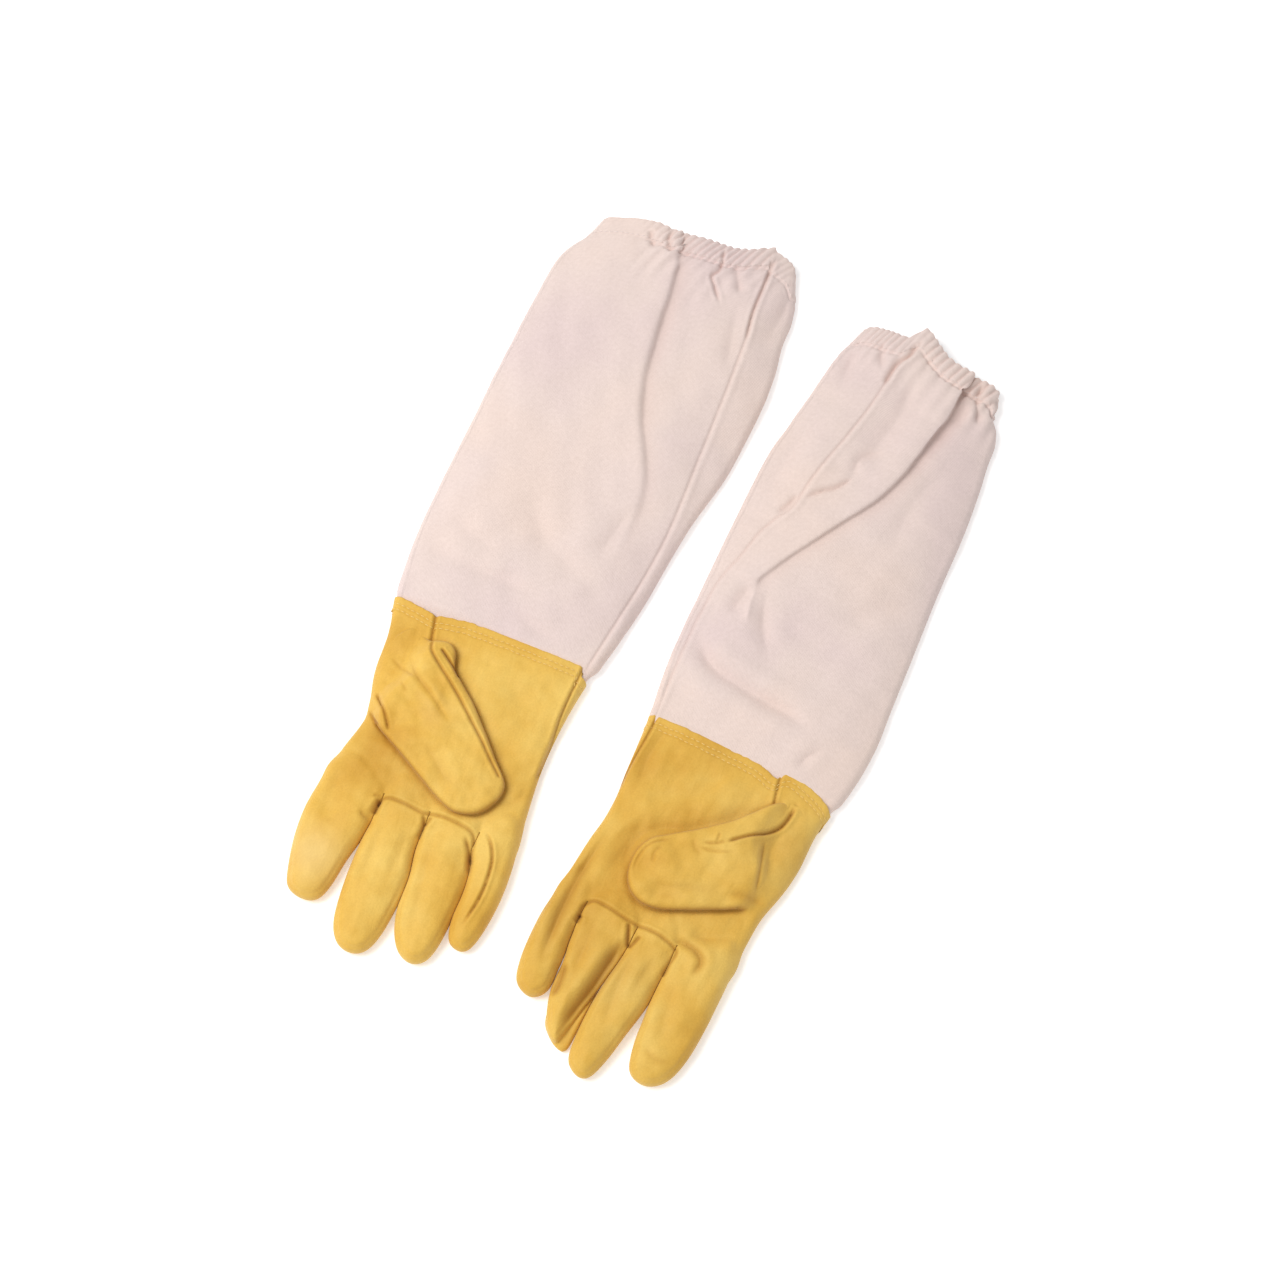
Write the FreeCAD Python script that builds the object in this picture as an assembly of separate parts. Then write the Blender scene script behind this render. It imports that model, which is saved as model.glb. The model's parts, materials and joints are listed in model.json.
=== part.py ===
import FreeCAD, Part
import math
import os
from FreeCAD import Vector

# A pair of beekeeping gloves lying palm up: soft leather hands with long canvas sleeves.
#
# Millimetres. +Z is up from the table, +Y runs from the fingertips to the sleeve openings, and
# the origin is under the middle of the pair. Each glove is drawn in its own flat frame, whose
# origin is the middle of the leather's edge at the wrist, and is then put in its place.
#
# Every hollow piece is a thin wall between two lofts, an outer one and the same one inset by
# the wall. A station of a loft is (y, left x, right x, height, height of its floor).

# Cloth, leather and thread
LEATHER = 1.2
CANVAS = 0.8
THREAD = 0.7
STITCH_PITCH = 3.4
STITCH_SHARE = 0.7
ELASTIC = 1.2

# Clearances
JOINT_GAP = 0.4
LAYER_GAP = 0.1
CHANNEL_GAP = 0.3

# The cross-section of every flattened tube
SHOULDER = 0.4          # side radius as a share of the height

# Heights above the table
PALM_HEIGHT = 14.0
HEM_HEIGHT = 13.0
FINGER_HEIGHT = 14.0
THUMB_HEIGHT = 11.0
OPENING_HEIGHT = 20.0
SEAM_LEVEL = 5.6        # the level where a front piece meets its back piece
UNDERSIDE_TRIM = 0.05   # trimmed off the hand's underside, so that it rests on a true plane

# Along each glove
KNUCKLE_Y = -118.0      # the crease where the fingers bend
CUFF_TUCK = 11.0        # how far the canvas is sewn up inside the leather
CUFF_ROWS = (-4.5, -8.0)
INSET_SEAM_ABOVE = 2.0  # from the knuckle line up to the seam of the middle and ring fronts
CASING_Y = 278.0        # where the sleeve's turned hem starts
CASING_DEPTH = 14.0
CASING_STITCH_BELOW = 1.5
CHANNEL_WIDTH = ELASTIC + 2 * CHANNEL_GAP
CASING_WALL = 2 * CANVAS + CHANNEL_WIDTH
ELASTIC_MARGIN = 2.0
SEAM_STRIP = (8.0, 1.4)  # width and thickness of the felled seam inside the sleeve

# The thumb lies on the palm and opens into it through an oval hole
THUMB_FLOOR = PALM_HEIGHT + JOINT_GAP
THUMB_SEAM_LEVEL = THUMB_FLOOR + SHOULDER * THUMB_HEIGHT
THUMB_HOLE = (14.0, 30.0)
THUMB_HOLE_DEPTHS = (-6.0, 2.4)  # from the thumb's floor down through the palm and up through the thumb
THUMB_HOLE_EDGE = 4.0   # from the thumb's hinge line to the hole
THUMB_ROOT_SLOPE = 30.0  # how far its open root leans from upright, to swing clear of the palm

# The stations of a rounded fingertip, as shares of its length
TIP_STEPS = (0.25, 0.5, 0.7, 0.84, 0.93)

# Right glove: its thumb is rooted at its left edge. A finger is its edges at the knuckle, part
# way and at the start of its tip, then the y of those last two and of the tip. A thumb station
# is (x, lower edge y, upper edge y), from the hinge line to the start of its tip.
RIGHT = {
    "place": (-85.6, -33.4, 0.0),
    "hand": [(0, -62, 64), (-30, -55, 62.5), (-62, -46.5, 62), (-90, -50, 64), (KNUCKLE_Y, -55.5, 67.5)],
    "fingers": {
        "index": ([(-55.5, -17.8), (-57, -20), (-51.5, -22)], (-148, -174, -190)),
        "middle": ([(-17.2, 12.8), (-17.5, 16.8), (-13.5, 15)], (-160, -192, -209)),
        "ring": ([(14.6, 44), (18, 49.5), (22, 47.5)], (-155, -186, -201)),
        "little": ([(46.6, 67.5), (51, 71.2), (52, 69)], (-145, -172, -184)),
    },
    "thumb": [(-35.6, -80, -19), (-25, -86, -20), (-10, -94, -30), (10, -104, -47), (27, -110, -64)],
    "thumb_tip": 46,
    "sleeve": [(JOINT_GAP, -62, 66, 13), (60, -67.5, 79, 14), (120, -66.5, 86, 15),
               (200, -64.5, 95, 16), (250, -61, 90, 18), (CASING_Y, -50, 86, 20)],
    "opening": (-46, 80),
    "seam_side": 1,
}
LEFT = {
    "place": (83.2, -50.9, -4.0),
    "hand": [(0, -61.5, 61), (-30, -58.5, 56.5), (-62, -57, 52.5), (-90, -60, 51), (KNUCKLE_Y, -62.5, 50.5)],
    "fingers": {
        "index": ([(17.2, 50.5), (17.2, 51), (19.5, 47.5)], (-150, -180, -196)),
        "middle": ([(-12.6, 16.6), (-12.6, 15.5), (-11.5, 10)], (-160, -190, -208)),
        "ring": ([(-40.8, -13.2), (-38.2, -13.2), (-34.5, -14.2)], (-155, -184, -198)),
        "little": ([(-62.5, -42), (-64, -41), (-61, -42)], (-145, -167, -179)),
    },
    "thumb": [(36.6, -82, -15), (25, -88, -20), (10, -97, -34), (-7, -103, -50)],
    "thumb_tip": -31,
    "sleeve": [(JOINT_GAP, -61, 62, 13), (60, -68.5, 66, 14), (120, -71, 61.5, 15),
               (190, -72.5, 57, 16), (250, -65.5, 50.5, 18), (CASING_Y, -60, 40, 20)],
    "opening": (-56, 38),
    "seam_side": -1,
}


def section(y, left, right, height, floor=0.0, inset=0.0):
    """A closed outline across a flattened tube: flat below, crowned above, round at its sides."""
    radius = min(SHOULDER * height, 0.4 * (right - left)) - inset
    left, right, floor = left + inset, right - inset, floor + inset
    crown = floor + height - 2 * inset
    middle, shoulder = (left + right) / 2, floor + 2 * radius
    corners = [Vector(left + radius, y, floor), Vector(right - radius, y, floor),
               Vector(right - radius, y, shoulder), Vector(left + radius, y, shoulder)]
    return Part.Wire([
        Part.LineSegment(corners[0], corners[1]).toShape(),
        Part.Arc(corners[1], Vector(right, y, floor + radius), corners[2]).toShape(),
        Part.Arc(corners[2], Vector(middle, y, crown), corners[3]).toShape(),
        Part.Arc(corners[3], Vector(left, y, floor + radius), corners[0]).toShape(),
    ])


def loft(stations, inset=0.0, start=0.0, end=0.0, ruled=False):
    """A solid through the stations, inset all round, its two ends moved along y by start and end."""
    shifts = [start] + [0.0] * (len(stations) - 2) + [end]
    wires = [section(y + shift, *rest, inset=inset) for (y, *rest), shift in zip(stations, shifts)]
    return Part.makeLoft(wires, True, ruled)


def open_tube(stations, wall, inset=0.0):
    """A tube open at both ends."""
    beyond = 1.0 if stations[-1][0] > stations[0][0] else -1.0
    bore = loft(stations, inset + wall, start=-beyond, end=beyond)
    return loft(stations, inset).cut(bore)


def with_tip(stations, tip_y):
    """The stations with a rounded tip added."""
    y, left, right, height, floor = stations[-1]
    middle, half, reach = (left + right) / 2, (right - left) / 2, tip_y - y
    rounded = []
    for step in TIP_STEPS:
        across = half * math.sqrt(1 - step ** 2)
        tall = height * math.sqrt(1 - 0.7 * step ** 2)
        rounded.append((y + reach * step, middle - across, middle + across,
                        tall, floor + SHOULDER * (height - tall)))
    return stations + rounded


def stall(stations, tip_y):
    """A finger or thumb stall: a hollow tube, open at its first station and closed at its tip."""
    shell = loft(with_tip(stations, tip_y), ruled=True)
    bore = loft(with_tip(stations, tip_y + LEATHER), LEATHER, start=1.0, ruled=True)
    return shell.cut(bore)


def slab(low, high):
    """A wide block between two levels, for splitting a tube into front and back."""
    block = Part.makeBox(800, 1200, high - low)
    block.translate(Vector(-400, -600, low))
    return block


def front_and_back(shape, level):
    """The halves of a tube above and below its side seam."""
    return shape.common(slab(level, 80)), shape.common(slab(0, level))


def stitch_between(a, b):
    """One stitch: a short round thread from a towards b."""
    along = b.sub(a)
    length = along.Length * STITCH_SHARE
    return Part.makeCylinder(THREAD / 2, length, a, along)


def stitch_row(wire):
    """A row of stitches along a line."""
    count = int(wire.Length / STITCH_PITCH)
    points = wire.discretize(Number=count)
    return [stitch_between(a, b) for a, b in zip(points, points[1:])]


def stitches_round(stations, y):
    """A row of stitches round a tube, half sunk into its top and flush with its flat underside."""
    raised = [(*row, height - THREAD / 2, THREAD / 2) for *row, height in stations]
    outline, = loft(raised).slice(Vector(0, 1, 0), y)
    return stitch_row(outline)


def between(stations, y):
    """The station at y, read off a straight line between its neighbours."""
    for low, high in zip(stations, stations[1:]):
        if min(low[0], high[0]) <= y <= max(low[0], high[0]):
            share = (y - low[0]) / (high[0] - low[0])
            return (y,) + tuple(a + (b - a) * share for a, b in zip(low[1:], high[1:]))
    raise ValueError(y)


def thumb_hole(glove):
    """An upright oval prism through the palm's front and the thumb's underside."""
    width, length = THUMB_HOLE
    x, low, high = glove["thumb"][0]
    inward = math.copysign(1, -x)
    bottom, top = THUMB_HOLE_DEPTHS
    centre = Vector(x + inward * (THUMB_HOLE_EDGE + width / 2), (low + high) / 2, THUMB_FLOOR + bottom)
    oval = Part.Ellipse(centre + Vector(0, length / 2, 0), centre + Vector(-width / 2, 0, 0), centre)
    return Part.Face(Part.Wire([oval.toShape()])).extrude(Vector(0, 0, top - bottom))


def make_hand(glove):
    """The leather round the palm, the canvas sewn inside its edge, and its stitching."""
    heights = [HEM_HEIGHT, HEM_HEIGHT, PALM_HEIGHT, PALM_HEIGHT, PALM_HEIGHT]
    stations = [(*row, height) for row, height in zip(glove["hand"], heights)]
    untrimmed = [(*row, height + UNDERSIDE_TRIM, -UNDERSIDE_TRIM) for *row, height in stations]
    front, back = front_and_back(open_tube(untrimmed, LEATHER), SEAM_LEVEL)
    tuck_reach = Part.makeBox(400, CUFF_TUCK, 100, Vector(-200, -CUFF_TUCK, 0))
    tuck = open_tube(untrimmed, CANVAS, LEATHER + LAYER_GAP).common(tuck_reach)
    rows = [stitch for y in CUFF_ROWS for stitch in stitches_round(stations, y)]
    bases = [x for finger in ("middle", "ring") for x in glove["fingers"][finger][0][0]]
    inset_row = [s for s in stitches_round(stations, KNUCKLE_Y + INSET_SEAM_ABOVE)
                 if min(bases) < s.CenterOfMass.x < max(bases) and s.CenterOfMass.z > SEAM_LEVEL]
    return {
        "palm_front": front.cut(thumb_hole(glove)),
        "hand_back": back,
        "sleeve_sewn_edge": tuck,
        "cuff_stitching": Part.makeCompound(rows),
        "finger_inset_stitching": Part.makeCompound(inset_row),
    }


def make_fingers(glove):
    """Four finger stalls. The middle and ring fingers have separate front pieces."""
    parts = {}
    for name, (edges, (middle_y, late_y, tip_y)) in glove["fingers"].items():
        ys = (KNUCKLE_Y - JOINT_GAP, middle_y, late_y)
        shape = stall([(y, *edge, FINGER_HEIGHT, 0.0) for y, edge in zip(ys, edges)], tip_y)
        if name in ("middle", "ring"):
            parts[name + "_front"], parts[name + "_back"] = front_and_back(shape, SEAM_LEVEL)
        else:
            parts[name + "_stall"] = shape
    return parts


def make_thumb(glove):
    """The thumb, folded over the palm: front piece, back piece and the stitching of its edge.

    It is drawn pointing along -Y and then turned to point across the palm.
    """
    outward = math.copysign(1, glove["thumb"][0][0])
    turn = FreeCAD.Placement(Vector(0, 0, 0), FreeCAD.Rotation(Vector(0, 0, 1), -90 * outward))
    stations = [(outward * x, *sorted((-outward * low, -outward * high)), THUMB_HEIGHT, THUMB_FLOOR)
                for x, low, high in glove["thumb"]]
    behind_root = Part.makeBox(200, 50, 100, Vector(-100, 0, 0))
    behind_root.rotate(Vector(0, 0, 0), Vector(1, 0, 0), THUMB_ROOT_SLOPE)
    behind_root.translate(Vector(0, stations[0][0], THUMB_FLOOR))
    shape = stall(stations, outward * glove["thumb_tip"]).cut(behind_root)
    shape.Placement = turn
    back, front = reversed(front_and_back(shape.cut(thumb_hole(glove)), THUMB_SEAM_LEVEL))
    upper = [Vector(x, high - THREAD / 2, THUMB_SEAM_LEVEL) for x, low, high in glove["thumb"]]
    stitches = []
    for a, b in zip(upper[1:], upper[2:]):
        stitches += stitch_row(Part.Wire([Part.LineSegment(a, b).toShape()]))
    return {"thumb_back": back, "thumb_front": front, "thumb_stitching": Part.makeCompound(stitches)}


def crown_level(station, x, inset):
    """The level of the inset crown of a section at x."""
    _, left, right, height = station
    radius = SHOULDER * height - inset
    half = (right - left) / 2 - inset - radius
    rise = height - 2 * SHOULDER * height
    crown_radius = (half ** 2 + rise ** 2) / (2 * rise)
    centre = height - inset - crown_radius
    return centre + math.sqrt(crown_radius ** 2 - (x - (left + right) / 2) ** 2)


def make_sleeve(glove):
    """The canvas sleeve with its felled seam, turned hem, elastic and hem stitching."""
    stations = glove["sleeve"]
    end = CASING_Y + CASING_DEPTH
    hem = [stations[-1], (end, *glove["opening"], OPENING_HEIGHT - 2)]
    channel = [hem[0], between(hem, end - CANVAS)]
    groove = (loft(channel, CANVAS, start=-1.0)
              .cut(loft(channel, CANVAS + CHANNEL_WIDTH, start=-2.0, end=1.0)))
    band_ends = [between(hem, CASING_Y + ELASTIC_MARGIN), between(hem, end - CANVAS - ELASTIC_MARGIN)]
    width, thick = SEAM_STRIP
    sections = []
    for station in stations:
        y, left, right, height = station
        outer = right if glove["seam_side"] > 0 else left
        x = outer - glove["seam_side"] * (2.2 * SHOULDER * height + width / 2)
        top = min(crown_level(station, x + s * width / 2, CANVAS) for s in (-1, 1)) - LAYER_GAP * 2
        box = [Vector(x - width / 2, y, top - thick), Vector(x + width / 2, y, top - thick),
               Vector(x + width / 2, y, top), Vector(x - width / 2, y, top)]
        sections.append(Part.makePolygon(box + box[:1]))
    return {
        "sleeve_tube": open_tube(stations, CANVAS),
        "sleeve_seam": Part.makeLoft(sections, True, False),
        "elastic_casing": open_tube(hem, CASING_WALL).cut(groove),
        "elastic_band": open_tube(band_ends, ELASTIC, CANVAS + CHANNEL_GAP),
        "casing_stitching": Part.makeCompound(stitches_round(stations, CASING_Y - CASING_STITCH_BELOW)),
    }


def make_glove(glove):
    """Every piece of one glove, in its own frame."""
    return {**make_hand(glove), **make_fingers(glove), **make_thumb(glove), **make_sleeve(glove)}


def in_place(shape, place):
    """The shape, turned and moved from the glove's frame to the pair's."""
    x, y, turn = place
    moved = shape.copy()
    moved.Placement = FreeCAD.Placement(
        Vector(x, y, 0), FreeCAD.Rotation(Vector(0, 0, 1), turn)).multiply(shape.Placement)
    return moved


def main():
    os.makedirs("parts", exist_ok=True)
    box = FreeCAD.BoundBox()
    for side, glove in (("right", RIGHT), ("left", LEFT)):
        for name, shape in make_glove(glove).items():
            placed = in_place(shape, glove["place"])
            box.add(placed.BoundBox)
            placed.exportStep(f"parts/{side}_{name}.step")
            print(f"{side}_{name}: {len(placed.Solids)} solids, {placed.Volume / 1000:.2f} cm3, "
                  f"valid {placed.isValid()}")
    print(f"box {box}")


main()
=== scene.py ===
"""A pair of beekeeping gloves lying palm up: soft yellow leather hands and long canvas sleeves.

Each glove is worked out in its own flat frame in millimetres: X across, Y from the fingertips
to the sleeve's opening, Z up, with the origin at the middle of the leather's edge at the wrist.
The leather hand is the zero surface of a field made of flattened pouches: a palm, four fingers
and a thumb that lies on the palm. The canvas sleeve is a closed section swept along the glove.
"""
import json
import math

import bpy
import numpy as np
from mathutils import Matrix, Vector
from mathutils.bvhtree import BVHTree

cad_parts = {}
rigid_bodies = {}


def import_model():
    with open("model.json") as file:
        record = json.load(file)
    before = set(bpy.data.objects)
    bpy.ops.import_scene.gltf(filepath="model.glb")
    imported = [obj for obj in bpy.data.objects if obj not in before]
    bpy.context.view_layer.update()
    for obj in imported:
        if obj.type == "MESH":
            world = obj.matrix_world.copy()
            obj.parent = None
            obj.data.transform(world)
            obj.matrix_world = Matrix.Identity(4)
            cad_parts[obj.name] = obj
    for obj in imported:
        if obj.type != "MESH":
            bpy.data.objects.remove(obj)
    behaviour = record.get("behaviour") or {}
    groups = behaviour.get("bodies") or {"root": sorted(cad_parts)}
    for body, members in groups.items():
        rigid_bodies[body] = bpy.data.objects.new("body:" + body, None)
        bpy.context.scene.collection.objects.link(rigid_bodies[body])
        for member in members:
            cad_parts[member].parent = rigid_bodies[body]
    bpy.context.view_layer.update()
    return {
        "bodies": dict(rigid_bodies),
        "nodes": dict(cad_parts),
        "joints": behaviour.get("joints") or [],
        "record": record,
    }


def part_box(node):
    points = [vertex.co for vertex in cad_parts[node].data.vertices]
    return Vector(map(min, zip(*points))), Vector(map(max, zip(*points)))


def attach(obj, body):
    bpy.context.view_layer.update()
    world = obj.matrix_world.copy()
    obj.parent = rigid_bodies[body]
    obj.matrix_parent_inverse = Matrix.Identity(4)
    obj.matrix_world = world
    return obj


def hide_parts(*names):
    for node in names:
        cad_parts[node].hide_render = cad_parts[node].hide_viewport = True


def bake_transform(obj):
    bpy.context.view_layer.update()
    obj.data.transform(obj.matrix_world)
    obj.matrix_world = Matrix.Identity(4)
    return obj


MM = 0.001

# The camera and the middle of its view, in the row's frame
CAMERA_AZIMUTH = 22.6
CAMERA_ELEVATION = 70.0
CAMERA_DISTANCE = 1.8
CAMERA_LENS = 84.4
CAMERA_TARGET = (-0.0016, 0.0001, 0.0)

# The studio
WORLD_STRENGTH = 0.57
FLOOR_GLOW = 0.3             # keeps the shadows on the floor faint
KEY_PLACE = (-1.0, -0.35, 1.75)
KEY_SIZE = 1.2
KEY_POWER = 30.0

# The leather hand
PITCH = 0.62                 # spacing of the field's grid
GRID_X, GRID_Y, GRID_Z = (-78, 80), (-214, 12), (-2, 32)
HEM_Y = 20                   # past the leather's edge at the wrist
# A pouch's edge radius, its height in the middle, and how far in from its edge it rises
PALM = {"radius": 5.0, "height": 13.0, "crown": 40.0}
FINGER = {"radius": 5.5, "height": 14.5, "crown": 15.0}
THUMB = {"radius": 3.2, "height": 9.0, "crown": 20.0}
RING_BACK = {"radius": 2.4, "height": 5.5, "crown": 8.0}  # shows past the left ring finger's front
# Height and size of the leather's broad bumps, small bumps and long wrinkles
PALM_BUMPS = ((0.5, 22), (0.16, 8), (0.1, 7))
THUMB_BUMPS = ((0.45, 18), (0.12, 7), (0.08, 7))
LEATHER = 1.3
FRONT_STARTS = (3, 6)        # heights between which the leather passes from its back to its front
ROOT_ROUNDING = 3.0          # between the palm and the roots of the fingers
FINGER_CUT = -116.0          # where the finger pieces start
FINGER_BEND = (-116.4, -131.0)
FINGER_SPACE = 0.06          # between fingers that touch
FINGER_SEAM = 2.4            # the seam round a fingertip, from its edge
THUMB_GAP = 0.5              # between the thumb and the palm that it lies on
THUMB_SINK = 9.0             # how deep the thumb's root goes into the palm
THUMB_HINGE = {"right": 36.0, "left": 37.0}
THUMB_BEND = 14.0            # how far past its hinge line the thumb bends
MIDDLE_HEIGHT = 14.2         # of the hinges of the fingers and the thumb
CUFF_ROWS = (-4.3, -7.6)     # stitch rows, from the leather's edge
HEM_LINING = 9.0             # how far the leather's inside is drawn
SLEEVE_JOINT = (1.0, 0.2)    # where the sleeve's joint stands in the glove's frame

# The canvas sleeve
SLEEVE_START = -10.0
SLEEVE_END = 290.0
SLEEVE_BEND = (0.0, 24.0)
SLEEVE_BEND_HEIGHT = 13.2
SLEEVE_HEIGHTS = [(-10, 13), (0, 13), (60, 14), (200, 16), (270, 16), (291, 13.5)]
TUCK = 2.2                   # how much smaller the canvas is inside the cuff
FINE_ROWS_START = 235.0      # from here on its rows are closer, and lean towards the opening's line
ROW_STEP, FINE_ROW_STEP = 1.2, 0.6
CASING = 14.0
CASING_ROWS = 20             # rows of the sleeve in its turned hem
CANVAS_FOLDED = 2.4          # thickness of the turned hem with its elastic
GATHER_PITCH = 4.7
TOP_STEPS, ARC_STEPS, BOTTOM_STEPS = 200, 9, 70

# Thread
STITCH_RADIUS = 0.33
STITCH_LENGTH = 2.5
STITCH_PITCH = 3.5
STITCH_FINENESS = 0.1        # of the line that stitches are cut from

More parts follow.
